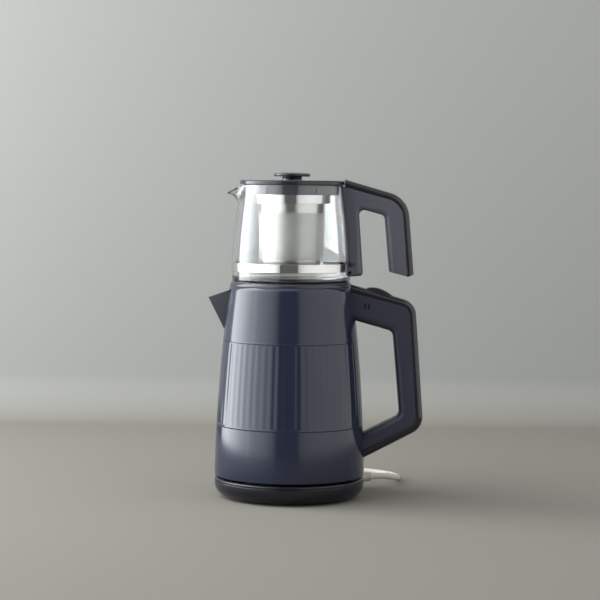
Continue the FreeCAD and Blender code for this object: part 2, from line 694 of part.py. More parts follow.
def make_kettle_body():
    piece = body("kettle_body")
    turned(piece, "shell", [
        (size.casing_bottom_radius, casing_low, casing_curve),
        (size.casing_top_radius, casing_high), (size.casing_top_radius - size.wall, casing_high,
                                                -casing_curve),
        (size.casing_bottom_radius - size.wall, casing_low)])
    for name, height in (("bead_low", size.bead_low), ("bead_high", size.bead_high)):
        radius = casing_radius(height)
        half = size.bead_width / 2
        turned(piece, name, [
            (radius - size.bead_proud, height - half), (radius, height - half),
            (radius + size.bead_proud, height - half / 2), (radius + size.bead_proud, height + half / 2),
            (radius, height + half), (radius - size.bead_proud, height + half)])
    start = size.flute_low
    section = sketch_on(piece, "flute_section", "XY_Plane", start)
    reach = size.flute_radius - size.flute_depth
    place = casing_radius(start) + reach
    circle = section.addGeometry(
        Part.Circle(Vector(place.number, 0, 0), Vector(0, 0, 1), size.flute_radius.number), False)
    pin_point(section, circle, 3, place, 0)
    limit = section.addConstraint(Sketcher.Constraint("Radius", circle, size.flute_radius.number))
    bind(section, f"Constraints[{limit}]", size.flute_radius)
    spine = sketch_on(piece, "flute_path", "XZ_Plane")
    outline_arc(spine, (place, start), (casing_radius(size.flute_high) + reach, size.flute_high),
                casing_curve)
    flute = piece.newObject("PartDesign::SubtractivePipe", "flute")
    flute.Profile = section
    flute.Spine = (spine, ["Edge1"])
    around(piece, "flutes", [flute], size.flute_count)
    post_low = casing_low + size.floor_plate + 1.5
    post = rods(piece, "post", "XY_Plane", [(size.post_circle, 0)], size.post_radius,
                size.post_height, start=post_low)
    rib = block(piece, "post_rib", "XY_Plane", box_corners(
        size.post_circle + size.post_radius / 2, -size.wall / 2,
        size.casing_bottom_radius - size.wall / 2 - 1, size.wall / 2), size.post_height, start=post_low)
    bore = rods(piece, "post_bore", "XY_Plane", [(size.post_circle, 0)],
                size.screw_radius + size.snug_fit, size.post_height - 1, start=post_low, cut=True)
    around(piece, "posts", [post, rib, bore], size.post_count)
    loft(piece, "spout_opening", spout_sections(size.spout_wall), cut=True)
    handle_screw_holes(piece)


def outline_arc(drawing, start, end, radius):
    """One arc that turns left from start to end."""
    first = Vector(start[0].number, start[1].number, 0)
    last = Vector(end[0].number, end[1].number, 0)
    along = last - first
    reach = math.sqrt(radius.number ** 2 - along.Length ** 2 / 4)
    centre = (first + last) / 2 + Vector(-along.y, along.x, 0).normalize() * reach
    circle = Part.Circle(centre, Vector(0, 0, 1), radius.number)
    angles = [math.atan2(end.y - centre.y, end.x - centre.x) for end in (first, last)]
    edge = drawing.addGeometry(Part.ArcOfCircle(circle, *angles), False)
    limit = drawing.addConstraint(Sketcher.Constraint("Radius", edge, radius.number))
    bind(drawing, f"Constraints[{limit}]", radius)
    pin_point(drawing, edge, 1, *start)
    pin_point(drawing, edge, 2, *end)


def handle_screw_holes(piece):
    """Level holes along X at the handle's two roots."""
    heights = handle_screw_heights()
    rods(piece, "handle_screw_hole", "YZ_Plane", [(0, height) for height in heights],
         size.screw_radius + size.snug_fit, size.handle_reach / 2, start=size.root_inside - 8,
         cut=True)


def handle_screw_heights():
    return [size.gap_top_root + size.screw_length, size.gap_low_root - size.screw_length]


def make_water_vessel():
    piece = body("water_vessel")
    inset = size.wall + size.vessel_gap
    low, high = size.vessel_floor, casing_high
    corner = size.vessel_corner
    sheet_wall = size.steel_sheet
    flange = high + sheet_wall
    turned(piece, "vessel", [
        (0, low), (casing_radius(low) - inset - corner, low, corner),
        (casing_radius(low + corner) - inset, low + corner, casing_curve),
        (casing_radius(high) - inset, high), (size.casing_top_radius - size.collar_rim - 0.3, high),
        (size.casing_top_radius - size.collar_rim - 0.3, flange),
        (casing_radius(high) - inset - sheet_wall, flange),
        (casing_radius(high) - inset - sheet_wall, high, -casing_curve),
        (casing_radius(low + corner) - inset - sheet_wall, low + corner, -(corner - sheet_wall)),
        (casing_radius(low) - inset - corner, low + sheet_wall), (0, low + sheet_wall)])
    loft(piece, "spout_opening", spout_sections(size.spout_wall), cut=True)


def make_kettle_collar():
    piece = body("kettle_rim_collar")
    flange = casing_high + size.steel_sheet
    rim = size.casing_top_radius - size.collar_rim
    seal_outer = casing_radius(casing_high) - size.wall - size.snug_fit
    seal_inner = seal_outer - size.seal_section
    turned(piece, "collar", [
        (size.collar_opening, flange), (seal_inner, flange), (seal_inner, flange + size.seal_section),
        (seal_outer, flange + size.seal_section), (seal_outer, flange), (rim, flange),
        (rim, casing_high), (size.casing_top_radius, casing_high, size.collar_round),
        (size.collar_top_radius, collar_top), (size.collar_seat, collar_top),
        (size.collar_seat, jug_low),
        (size.collar_opening, jug_low)])


def make_vessel_seal():
    piece = body("vessel_seal")
    flange = casing_high + size.steel_sheet
    seal_outer = casing_radius(casing_high) - size.wall - size.snug_fit
    turned(piece, "seal", box_corners(seal_outer - size.seal_section, flange, seal_outer,
                                      flange + size.seal_section))


def make_kettle_spout():
    piece = body("kettle_spout")
    loft(piece, "beak", spout_sections(as_length(0)))
    loft(piece, "channel", spout_sections(size.spout_wall), cut=True)
    over = size.spout_high + 10
    block(piece, "top_edge", "XZ_Plane", [
        (-size.spout_reach * 1.5, over), (-size.spout_reach * 1.5, size.spout_tip_height),
        (-size.spout_reach, size.spout_tip_height),
        (-casing_radius(size.spout_root_height), size.spout_root_height),
        (-size.spout_inside / 2, size.spout_root_height), (-size.spout_inside / 2, over)],
        size.spout_half_width * 4, cut=True, middle=True)
    low = size.spout_low - 10
    turned(piece, "seat", casing_inside(0, low, casing_high), cut=True)


def make_spout_filter():
    piece = body("spout_filter")
    outer = size.wall + size.vessel_gap + size.steel_sheet
    inner = outer + size.steel_sheet
    low, high = size.filter_low, size.filter_high
    turned(piece, "screen", [
        (-(casing_radius(low) - outer), low), (-(casing_radius(low) - inner), low),
        (-(casing_radius(high) - inner), high), (-(casing_radius(high) - outer), high)],
        angle=44, middle=True)
    centres = []
    for column in range(-3, 4):
        for row in range(6):
            centres.append((column * size.filter_pitch, low + size.filter_pitch * (row + 0.9)))
    holes = rods(piece, "perforation", "YZ_Plane", centres, size.filter_hole, size.casing_top_radius,
                 cut=True)
    holes.Reversed = False


def make_heater():
    plate = body("heater_plate")
    low = size.vessel_floor - size.heater_plate
    turned(plate, "plate", box_corners(0, low, size.heater_radius, size.vessel_floor))
    element = body("heating_element")
    level = low - size.element_tube
    drawing = sketch_on(element, "tube_section", "XZ_Plane")
    circle = drawing.addGeometry(
        Part.Circle(Vector(size.element_ring.number, level.number, 0), Vector(0, 0, 1),
                    size.element_tube.number), False)
    pin_point(drawing, circle, 3, size.element_ring, level)
    limit = drawing.addConstraint(Sketcher.Constraint("Radius", circle, size.element_tube.number))
    bind(drawing, f"Constraints[{limit}]", size.element_tube)
    feature = element.newObject("PartDesign::Revolution", "tube")
    feature.Profile = drawing
    feature.ReferenceAxis = (drawing, ["V_Axis"])
    bind(feature, "Angle", size.element_arc)
    feature.Midplane = True
    discs = body("bimetal_discs")
    rods(discs, "discs", "XY_Plane", [(-size.bimetal_offset, 0), (size.bimetal_offset, 0)],
         size.bimetal_radius, size.bimetal_sheet, start=size.coupler_top)


def make_kettle_bottom():
    piece = body("kettle_bottom_cover")
    low = casing_low + 1.5
    high = low + size.floor_plate
    edge = size.casing_bottom_radius - size.wall - size.snug_fit - 0.2
    hole = size.coupler_radius + size.snug_fit
    turned(piece, "cover", [
        (hole, low), (size.floor_ring_inner, low), (size.floor_ring_inner, base_top),
        (size.floor_ring_outer, base_top), (size.floor_ring_outer, low), (edge, low), (edge, high),
        (hole, high)])
    screw_hole = rods(piece, "screw_hole", "XY_Plane", [(size.post_circle, 0)],
                      size.screw_radius + size.snug_fit, size.floor_plate * 2, start=low, cut=True)
    around(piece, "screw_holes", [screw_hole], size.post_count)
    coupler = body("kettle_coupler")
    recess = hub_top + size.hub_rise / 6
    bowl = size.hub_radius + size.play + size.loose_fit
    turned(coupler, "housing", [
        (size.pin_radius + size.snug_fit, recess), (size.blade_inner - size.snug_fit, recess),
        (size.blade_inner - size.snug_fit, recess + 2), (size.blade_outer + size.snug_fit, recess + 2),
        (size.blade_outer + size.snug_fit, recess), (bowl, recess), (bowl, low - 1),
        (size.coupler_radius, low - 1), (size.coupler_radius, high),
        (size.coupler_radius + size.coupler_flange, high),
        (size.coupler_radius + size.coupler_flange, high + 1.5), (size.coupler_radius, high + 1.5),
        (size.coupler_radius, size.coupler_top), (size.pin_radius + size.snug_fit, size.coupler_top)])
    pins = body("coupler_pins")
    turned(pins, "earth_pin", [
        (0, slot_floor + size.blade_reach), (size.pin_radius * 0.6, slot_floor + size.blade_reach),
        (size.pin_radius, slot_floor + size.blade_reach + 1), (size.pin_radius, size.coupler_top - 2),
        (0, size.coupler_top - 2)])
    turned(pins, "ring_blade", box_corners(size.blade_inner, slot_floor + size.blade_reach,
                                           size.blade_outer, recess + 2))


# ---------------------------------------------------------------- kettle handle
def handle_top_line(x):
    """Height of the handle's upper outer line beside the axis."""
    slope = (size.handle_top_root - size.handle_top_corner) / (
        size.handle_top_corner_x - size.handle_top_root_x)
    return size.handle_top_root - slope * (x - size.handle_top_root_x)


# Shift of each corner between a handle's outer line and the line under its spine, in thicknesses:
# inwards, then up or down.
SPINE_SHIFTS = {"root": 1.05, "top_corner": (0.93, 0.66), "low_corner": (1.02, 0.68), "foot": 1.1}
GRIP_SHIFTS = {"root": 1.04, "corner": (0.92, 0.70)}


def handle_spine_corners():
    """Outer line of the handle from the top root to the low root, and the line under its spine."""
    thick = size.spine_thickness
    top, low = SPINE_SHIFTS["top_corner"], SPINE_SHIFTS["low_corner"]
    foot = thick * SPINE_SHIFTS["foot"]
    outer = [(size.root_inside, handle_top_line(size.root_inside)),
             (size.handle_top_corner_x, size.handle_top_corner),
             (size.handle_reach, size.handle_low_corner),
             (size.root_low_x, size.handle_low_root),
             (size.root_inside, size.handle_low_root - size.root_drop)]
    inner = [(size.root_inside, outer[0][1] - thick * SPINE_SHIFTS["root"]),
             (size.handle_top_corner_x - thick * top[0], size.handle_top_corner - thick * top[1]),
             (size.handle_reach - thick * low[0], size.handle_low_corner + thick * low[1]),
             (size.root_low_x, size.handle_low_root + foot),
             (size.root_inside, size.handle_low_root - size.root_drop + foot)]
    return outer, inner


def make_kettle_handle():
    outer, inner = handle_spine_corners()
    gap = [(size.root_inside, size.gap_low_root - size.root_drop), (size.root_low_x, size.gap_low_root),
           (size.gap_low_corner_x, size.gap_low_corner), (size.gap_top_corner_x, size.gap_top_corner),
           (size.root_top_x, size.gap_top_root), (size.root_inside, size.gap_top_root + 1.6)]
    shell = body("kettle_handle_shell")
    block(shell, "frame", "XZ_Plane", list(reversed(inner)) + list(reversed(gap)),
          size.handle_width, middle=True)
    round_edges(shell, "outer_corner", size.handle_outer_round - size.spine_thickness,
                [(inner[1][0], 0, inner[1][1])])
    round_edges(shell, "low_corner", size.handle_low_round - size.spine_thickness,
                [(inner[2][0], 0, inner[2][1])])
    round_edges(shell, "gap_corners", size.gap_round,
                [(gap[2][0], 0, gap[2][1]), (gap[3][0], 0, gap[3][1])])
    wall = size.handle_wall
    cavity = [
        (size.root_low_x + wall, inner[3][1] - 20), (size.handle_reach * 1.2, inner[3][1] - 20),
        (size.handle_reach * 1.2, inner[1][1] + 40), (size.root_top_x + wall * 2, inner[1][1] + 40),
        (size.root_top_x + wall * 2, size.gap_top_root + wall * 1.2),
        (size.gap_top_corner_x + wall * 1.4, size.gap_top_corner + wall * 1.4),
        (size.gap_low_corner_x + wall * 1.4, size.gap_low_corner - wall * 1.4),
        (size.root_low_x + wall, size.gap_low_root - wall * 1.6)]
    block(shell, "hollow", "XZ_Plane", cavity, size.handle_width - 2 * wall, cut=True, middle=True)
    casing_seat(shell)
    handle_screw_holes(shell)
    lens_windows(shell)
    rods(shell, "switch_posts", "XZ_Plane", switch_post_places(), size.post_pin_radius,
         size.handle_width - wall, middle=True)
    rods(shell, "board_posts", "XZ_Plane", board_post_places(), size.post_pin_radius,
         2 * size.led_radius + wall / 2, start=board_face())

    spine = body("kettle_handle_spine")
    block(spine, "cap", "XZ_Plane", list(reversed(outer)) + inner, size.handle_width, middle=True)
    round_edges(spine, "outer_corner", size.handle_outer_round, [(outer[1][0], 0, outer[1][1])])
    round_edges(spine, "inner_corner", size.handle_outer_round - size.spine_thickness,
                [(inner[1][0], 0, inner[1][1])])
    round_edges(spine, "low_corner", size.handle_low_round, [(outer[2][0], 0, outer[2][1])])
    round_edges(spine, "low_inner", size.handle_low_round - size.spine_thickness,
                [(inner[2][0], 0, inner[2][1])])
    casing_seat(spine)
    opening = size.rocker_half_width + size.rocker_gap
    block(spine, "rocker_slot", "XY_Plane", box_corners(
        size.rocker_start - size.rocker_gap, -opening, size.rocker_end + size.rocker_gap, opening),
        40, start=size.rocker_pivot_height - 20, cut=True)
    rods(spine, "pin_bore", "XZ_Plane", [(size.rocker_pivot_x, size.rocker_pivot_height)],
         size.rocker_pin_radius + size.snug_fit / 2, size.handle_width - 2 * wall, cut=True,
         middle=True)


def switch_post_places():
    """Two pins that cross the handle and pass through the switch's mounting holes."""
    middle = size.switch_low + size.switch_height / 2
    inset = size.switch_height / 2
    return [(size.switch_start + inset, middle - 2),
            (size.switch_start + size.switch_length - inset, middle - 2)]


def board_face():
    return size.handle_width / 2 - size.handle_wall - 2 * size.led_radius


def board_post_places():
    low = size.lens_low - 2
    return [(size.lens_first_x, low), (size.lens_first_x + size.board_length - 4, low)]


def lens_windows(piece):
    low = size.lens_low
    for index in range(2):
        start = size.lens_first_x + size.lens_pitch * index
        block(piece, f"lens_window_{index}", "XZ_Plane", box_corners(
            start, low, start + size.lens_width, low + size.lens_height),
            size.handle_wall * 3, start=size.handle_width / 2 - size.handle_wall * 1.5, cut=True)


def make_handle_parts():
    half = size.handle_width / 2
    wall = size.handle_wall
    lenses = body("indicator_lenses")
    for index in range(2):
        start = size.lens_first_x + size.lens_pitch * index
        block(lenses, f"lens_{index}", "XZ_Plane", box_corners(
            start + size.snug_fit / 2, size.lens_low + size.snug_fit / 2,
            start + size.lens_width - size.snug_fit / 2,
            size.lens_low + size.lens_height - size.snug_fit / 2),
            wall + size.lens_proud, start=half - wall)
    board = body("indicator_board")
    start = size.lens_first_x - 2
    block(board, "board", "XZ_Plane", box_corners(
        start, size.lens_low - size.board_drop, start + size.board_length,
        size.lens_low - size.board_drop + size.board_height),
        size.board_sheet, start=board_face() - size.board_sheet)
    leds = body("indicator_leds")
    places = [(size.lens_first_x + size.lens_pitch * index + size.lens_width / 2,
               size.lens_low + size.lens_height / 2) for index in range(2)]
    rods(leds, "leds", "XZ_Plane", places, size.led_radius, 2 * size.led_radius, start=board_face())
    switch = body("switch_body")
    block(switch, "case", "XZ_Plane", box_corners(
        size.switch_start, size.switch_low, size.switch_start + size.switch_length,
        size.switch_low + size.switch_height), size.switch_thickness, middle=True)
    rods(switch, "mounting_holes", "XZ_Plane", switch_post_places(),
         size.post_pin_radius + size.snug_fit / 2, size.switch_thickness, cut=True, middle=True)
    rocker = body("switch_rocker")
    start, end = size.rocker_start, size.rocker_end
    crown = (start + end) / 2 - 2
    block(rocker, "paddle", "XZ_Plane", [
        (start, handle_top_line(start) - size.rocker_depth),
        (end, handle_top_line(end) - size.rocker_depth),
        (end, handle_top_line(end) + 0.4, size.rocker_curve),
        (crown, handle_top_line(crown) + size.rocker_proud, size.rocker_curve),
        (start, handle_top_line(start) + 1.2)], 2 * size.rocker_half_width, middle=True)
    rods(rocker, "pin_bore", "XZ_Plane", [(size.rocker_pivot_x, size.rocker_pivot_height)],
         size.rocker_pin_radius + size.loose_fit, 4 * size.rocker_half_width, cut=True, middle=True)
    pin = body("rocker_pin")
    rods(pin, "pin", "XZ_Plane", [(size.rocker_pivot_x, size.rocker_pivot_height)],
         size.rocker_pin_radius, size.handle_width - 2 * wall, middle=True)
    screws = body("kettle_handle_screws")
    for index, height in enumerate(handle_screw_heights()):
        seat = (size.root_top_x + wall * 2) if index == 0 else (size.root_low_x + wall)
        rods(screws, f"head_{index}", "YZ_Plane", [(0, height)], size.screw_head_radius,
             size.screw_head, start=seat)
        tip = casing_radius(height) - size.wall
        rods(screws, f"shank_{index}", "YZ_Plane", [(0, height)], size.screw_radius,
             seat - tip, start=tip)


# ---------------------------------------------------------------- glass teapot
def jug_profile(inset, low):
    """Corners up the jug's outer surface moved inwards by inset, from a level to the rim."""
    return [(size.jug_radius - inset, low), (size.jug_radius - inset, jug_shoulder_height, jug_curve),
            (size.jug_rim_radius - inset, jug_high)]


def make_teapot_glass():
    piece = body("teapot_glass")
    foot = size.jug_foot_round
    turned(piece, "jug", [(0, jug_low), (size.jug_radius - foot, jug_low, foot)]
           + jug_profile(0, jug_low + foot) + [(0, jug_high)])
    lip_cone(piece, "lip", as_length(0), "PartDesign::AdditiveCone")
    over = jug_high + size.lip_height
    block(piece, "lip_edge", "XZ_Plane", [
        (-size.lip_reach * 1.6, over), (-size.lip_reach * 1.6, jug_high - size.lip_drop),
        (-size.lip_reach, jug_high - size.lip_drop), (-size.jug_rim_radius + 1, jug_high),
        (size.jug_radius * 1.2, jug_high), (size.jug_radius * 1.2, over)],
        size.jug_radius * 3, cut=True, middle=True)
    wall = size.jug_wall
    floor = jug_low + size.jug_floor
    turned(piece, "inside", [(0, floor), (size.jug_radius - wall - foot, floor, foot)]
           + jug_profile(wall, floor + foot) + [(0, jug_high)], cut=True)
    lip_cone(piece, "lip_channel", wall, "PartDesign::SubtractiveCone")
    lip_cone(piece, "lip_throat", wall, "PartDesign::SubtractiveCone", size.lip_throat)


def lip_cone(piece, name, inset, kind, shift=0):
    """Leaning cone, apex down, whose outer line runs from the jug's wall to the lip's tip, or that
    line moved towards the axis by shift."""
    cone = piece.newObject(kind, name)
    cone.MapMode = "Deactivated"
    lean = size.lip_lean
    height = size.lip_height * 1.6
    spread = sine(size.lip_half_angle) / cosine(size.lip_half_angle)
    outward = lean + size.lip_half_angle
    tip_x = shift - size.lip_reach
    tip_z = jug_high - size.lip_drop
    slant = size.lip_height * 0.8
    apex_x = tip_x + slant * sine(outward) + inset / sine(size.lip_half_angle) * -sine(lean)
    apex_z = tip_z - slant * cosine(outward) + inset / sine(size.lip_half_angle) * cosine(lean)
    cone.Placement = Placement(Vector(), Rotation(Vector(0, 1, 0), -lean.number))
    bind(cone, "Placement.Base.x", apex_x)
    bind(cone, "Placement.Base.z", apex_z)
    bind(cone, "Radius1", 0)
    bind(cone, "Radius2", height * spread)
    bind(cone, "Height", height)


def make_teapot_band():
    piece = body("teapot_band")
    low = jug_low + size.band_low
    turned(piece, "band", box_corners(size.jug_radius, low, size.jug_radius + size.band_sheet,
                                      low + size.band_height))


def grip_lines():
    thick = size.grip_spine
    root_x = size.jug_rim_radius - size.grip_overlap
    top = size.lid_radius + size.play
    slope = (size.grip_root - size.grip_corner) / (size.grip_corner_x - top)
    corner = GRIP_SHIFTS["corner"]
    outer = [(root_x, size.grip_root + slope * (top - root_x)), (size.grip_corner_x, size.grip_corner),
             (size.grip_reach, size.grip_low + thick / 2),
             (size.grip_reach - thick / 2, size.grip_low - thick / 4)]
    inner = [(root_x, outer[0][1] - thick * GRIP_SHIFTS["root"]),
             (size.grip_corner_x - thick * corner[0], size.grip_corner - thick * corner[1]),
             (size.grip_reach - thick, size.grip_low)]
    return outer, inner


def jug_clearance(piece):
    """Cuts away what the glass, the band and the lid take up."""
    low = jug_low + size.band_low
    band = size.jug_radius + size.band_sheet
    lid = size.lid_radius + size.play
    turned(piece, "seat", [
        (0, jug_low), (size.jug_radius, jug_low), (size.jug_radius, low), (band, low),
        (band, low + size.band_height), (size.jug_radius, low + size.band_height),
        (size.jug_radius, jug_shoulder_height, jug_curve), (size.jug_rim_radius, jug_high),
        (lid, jug_high), (lid, lid_top * 1.1), (0, lid_top * 1.1)], cut=True)


def clip_slot(piece):
    block(piece, "clip_slot", "XZ_Plane", box_corners(
        size.jug_rim_radius, jug_high, size.lid_radius + size.play + size.clip_tail,
        jug_high + size.clip_sheet), size.clip_width, cut=True, middle=True)


def make_teapot_handle():
    outer, inner = grip_lines()
    root_x = inner[0][0]
    shell = body("teapot_handle_shell")
    gap = [(size.grip_inner_low_x, size.grip_inner_low), (size.grip_gap_corner_x, size.grip_gap_corner),
           (size.column_corner_x, size.column_corner), (size.column_low_x, size.column_low),
           (root_x, size.column_low)]
    block(shell, "frame", "XZ_Plane", list(reversed(inner)) + [(root_x, size.column_low)]
          + [gap[3], gap[2], gap[1], gap[0]], size.grip_width, middle=True)
    round_edges(shell, "outer_corner", size.grip_round - size.grip_spine,
                [(inner[1][0], 0, inner[1][1])])
    round_edges(shell, "gap_corners", size.grip_gap_round,
                [(gap[1][0], 0, gap[1][1]), (gap[2][0], 0, gap[2][1])])
    round_edges(shell, "column_corner", size.column_round, [(gap[3][0], 0, gap[3][1])])
    wall = size.handle_wall
    cavity = [
        (size.grip_inner_low_x + wall * 1.5, size.grip_inner_low + wall),
        (size.grip_reach * 1.2, size.grip_inner_low + wall), (size.grip_reach * 1.2, size.grip_root),
        (size.column_corner_x, size.grip_root), (size.column_corner_x, size.column_corner + wall * 1.4),
        (size.grip_gap_corner_x + wall * 1.4, size.grip_gap_corner + wall * 1.4)]
    block(shell, "hollow", "XZ_Plane", cavity, size.grip_width - 2 * wall, cut=True, middle=True)
    jug_clearance(shell)
    level = jug_low + size.band_low + size.band_height / 2
    band = size.jug_radius + size.band_sheet
    rods(shell, "screw_hole", "YZ_Plane", [(0, level)], size.screw_radius + size.snug_fit, 30,
         start=band - 5, cut=True)
    rods(shell, "screw_sink", "YZ_Plane", [(0, level)], size.screw_head_radius + size.loose_fit, 30,
         start=size.column_low_x - 4, cut=True)
    screw = body("teapot_band_screw")
    rods(screw, "head", "YZ_Plane", [(0, level)], size.screw_head_radius, size.screw_head,
         start=size.column_low_x - 4)
    rods(screw, "shank", "YZ_Plane", [(0, level)], size.screw_radius,
         size.column_low_x - 4 - band, start=band)
    spine = body("teapot_handle_spine")
    block(spine, "cap", "XZ_Plane", list(reversed(outer)) + inner, size.grip_width, middle=True)
    round_edges(spine, "outer_corner", size.grip_round, [(outer[1][0], 0, outer[1][1])])
    round_edges(spine, "inner_corner", size.grip_round - size.grip_spine,
                [(inner[1][0], 0, inner[1][1])])
    jug_clearance(spine)
    clip_slot(spine)
    clip = body("teapot_rim_clip")
    half = size.clip_width / 2
    inside = size.jug_rim_radius - size.jug_wall - size.clip_sheet
    block(clip, "clip", "XZ_Plane", [
        (inside, jug_high - size.clip_drop), (inside + size.clip_sheet, jug_high - size.clip_drop),
        (inside + size.clip_sheet, jug_high), (size.lid_radius + size.play + size.clip_tail, jug_high),
        (size.lid_radius + size.play + size.clip_tail, jug_high + size.clip_sheet),
        (inside, jug_high + size.clip_sheet)], size.clip_width, middle=True)


# ---------------------------------------------------------------- lid and strainer
def make_lid():
    piece = body("lid_disc")
    inner = size.lid_radius - size.lid_edge
    turned(piece, "disc", [
        (size.screw_radius + size.snug_fit, lid_under), (inner, lid_under), (inner, jug_high),
        (size.lid_radius, jug_high), (size.lid_radius, lid_top - size.lid_chamfer),
        (size.lid_radius - size.lid_chamfer, lid_top), (size.screw_radius + size.snug_fit, lid_top)])
    block(piece, "clip_notch", "XZ_Plane", box_corners(
        size.skirt_radius, jug_high - 1, size.lid_radius + 5,
        jug_high + size.clip_sheet + size.play), size.clip_width + 2 * size.play, cut=True, middle=True)
    skirt = body("lid_skirt")
    low = jug_high - size.skirt_drop
    web_top = jug_high - size.skirt_web_drop
    web_low = web_top - size.skirt_web
    wall = size.skirt_wall
    boss_inner = size.boss_radius - size.boss_wall
    turned(skirt, "skirt", [
        (boss_inner, boss_low), (size.boss_radius, boss_low), (size.boss_radius, web_low),
        (size.skirt_radius - wall, web_low), (size.skirt_radius - wall, low), (size.skirt_radius, low),
        (size.skirt_radius, lid_under), (size.skirt_radius - wall, lid_under),
        (size.skirt_radius - wall, web_top), (boss_inner, web_top)])
    slot = block(skirt, "slot", "XY_Plane", box_corners(
        size.skirt_radius - wall * 2, -size.skirt_slot / 2, size.skirt_radius + wall,
        size.skirt_slot / 2), web_low - low + 2, start=low - 2, cut=True)
    around(skirt, "slots", [slot], size.skirt_slot_count)
    lug = turned(skirt, "lug", box_corners(
        size.boss_radius - size.boss_wall / 2, boss_low, size.boss_radius + size.lug_reach,
        boss_low + size.lug_height), angle=size.lug_angle, middle=True)
    around(skirt, "lugs", [lug], size.lug_count)
    knob = body("lid_knob")
    disc_low = lid_top + size.knob_stem
    disc_top = disc_low + size.knob_edge
    dome = (size.knob_radius * size.knob_radius / (2 * size.knob_dome) + size.knob_dome / 2)
    bore = size.screw_radius + size.snug_fit
    turned(knob, "knob", [
        (0, lid_top), (size.knob_stem_radius, lid_top), (size.knob_stem_radius * 0.93, disc_low),
        (size.knob_radius - 1, disc_low), (size.knob_radius, disc_low + 1),
        (size.knob_radius, disc_top, dome), (0, disc_top + size.knob_dome)])
    rods(knob, "screw_bore", "XY_Plane", [(0, 0)], bore, size.knob_stem + 1.5, start=lid_top, cut=True)
    screw = body("lid_knob_screw")
    turned(screw, "screw", [
        (0, lid_under - size.screw_head), (size.screw_head_radius, lid_under - size.screw_head),
        (size.screw_head_radius, lid_under), (size.screw_radius, lid_under),
        (size.screw_radius, lid_top + size.knob_stem), (0, lid_top + size.knob_stem)])


def make_strainer():
    neck = body("strainer_neck")
    outer = size.neck_radius
    inner = outer - size.neck_wall
    high = neck_low + size.neck_height
    turned(neck, "neck", [
        (size.basket_top_radius, neck_low), (outer, neck_low), (outer, high), (inner, high),
        (inner, neck_low + size.basket_sheet), (size.basket_top_radius, neck_low + size.basket_sheet)])
    catch_low = boss_low + size.lug_height + size.lift_play
    flange = turned(neck, "catch", box_corners(
        size.boss_radius + size.play, catch_low, inner + size.neck_wall / 2,
        catch_low + size.neck_flange), angle=size.neck_flange_angle, middle=True)
    around(neck, "catches", [flange], size.lug_count)
    basket = body("strainer_basket")
    sheet_wall = size.basket_sheet
    turned(basket, "basket", [
        (size.basket_bottom_radius - sheet_wall, basket_low), (size.basket_bottom_radius, basket_low),
        (size.basket_top_radius, neck_low), (size.basket_top_radius, neck_low + sheet_wall),
        (size.basket_top_radius - sheet_wall, neck_low + sheet_wall),
        (size.basket_top_radius - sheet_wall, neck_low)])
    floor = body("strainer_floor")
    turned(floor, "floor", box_corners(0, basket_low - sheet_wall, size.basket_bottom_radius,
                                       basket_low))


make_base_cover()
make_base_bottom_plate()
make_base_feet()
make_base_socket()
make_base_contacts()
screw_set("base_screws", size.base_boss_circle, base_floor + size.screw_head, size.foot_count)
make_base_wires()
make_strain_relief()
make_cord()
make_plug()
make_kettle_body()
make_water_vessel()
make_kettle_collar()
make_vessel_seal()
make_kettle_spout()
make_spout_filter()
make_heater()
make_kettle_bottom()
screw_set("kettle_bottom_screws", size.post_circle, casing_low + 1.5, size.post_count)
make_kettle_handle()
make_handle_parts()
make_handle_wires()
make_teapot_glass()
make_teapot_band()
make_teapot_handle()
make_lid()
make_strainer()
doc.recompute()

# ---------------------------------------------------------------- checks and output
faults = []
for item in doc.Objects:
    if {"Invalid", "Error"} & set(item.State):
        faults.append(f"{item.Label}: {item.State}")
    if item.TypeId in ("PartDesign::Pocket", "PartDesign::Groove", "PartDesign::SubtractiveLoft"):
        base = item.BaseFeature
        if base is None or item.Shape.Volume > base.Shape.Volume - 0.01:
            faults.append(f"{item.Label} of {base.Label if base else None} cuts nothing")
for piece in pieces:
    if piece.Shape.isNull() or not piece.Shape.isValid() or not piece.Shape.Solids:
        faults.append(f"{piece.Label}: bad shape")
if faults:
    raise SystemExit("\n".join(faults))

os.makedirs("parts", exist_ok=True)
for piece in pieces:
    piece.Shape.exportStep(f"parts/{piece.Label}.step")
    print(f"{piece.Label}: {len(piece.Shape.Solids)} solid(s), {piece.Shape.Volume / 1000:.2f} cm3")
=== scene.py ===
import math
from types import SimpleNamespace
import bmesh
import bpy
import numpy as np
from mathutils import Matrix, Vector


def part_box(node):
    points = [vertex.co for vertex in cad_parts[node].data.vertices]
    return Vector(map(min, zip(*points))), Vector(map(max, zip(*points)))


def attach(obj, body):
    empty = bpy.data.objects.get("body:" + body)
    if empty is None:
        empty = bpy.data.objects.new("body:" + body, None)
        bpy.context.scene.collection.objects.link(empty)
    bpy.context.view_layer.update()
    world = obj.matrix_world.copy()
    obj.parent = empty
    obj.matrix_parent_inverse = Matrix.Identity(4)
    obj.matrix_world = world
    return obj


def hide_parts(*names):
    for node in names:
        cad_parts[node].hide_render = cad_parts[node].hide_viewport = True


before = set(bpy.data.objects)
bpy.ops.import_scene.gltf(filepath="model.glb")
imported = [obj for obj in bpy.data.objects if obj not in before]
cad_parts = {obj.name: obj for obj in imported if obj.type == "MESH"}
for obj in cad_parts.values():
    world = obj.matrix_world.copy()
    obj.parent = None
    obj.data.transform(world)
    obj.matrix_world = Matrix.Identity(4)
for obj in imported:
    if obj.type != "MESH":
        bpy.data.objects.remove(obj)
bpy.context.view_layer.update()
baseLow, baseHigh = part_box("base_cover")
axisX = (baseLow.x + baseHigh.x) / 2 * 1000  # the tiers' upright axis, in mm
print("frame loaded:", len(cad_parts), "CAD nodes")

# helpers for shapes; all shape work is in millimetres beside the tiers' axis


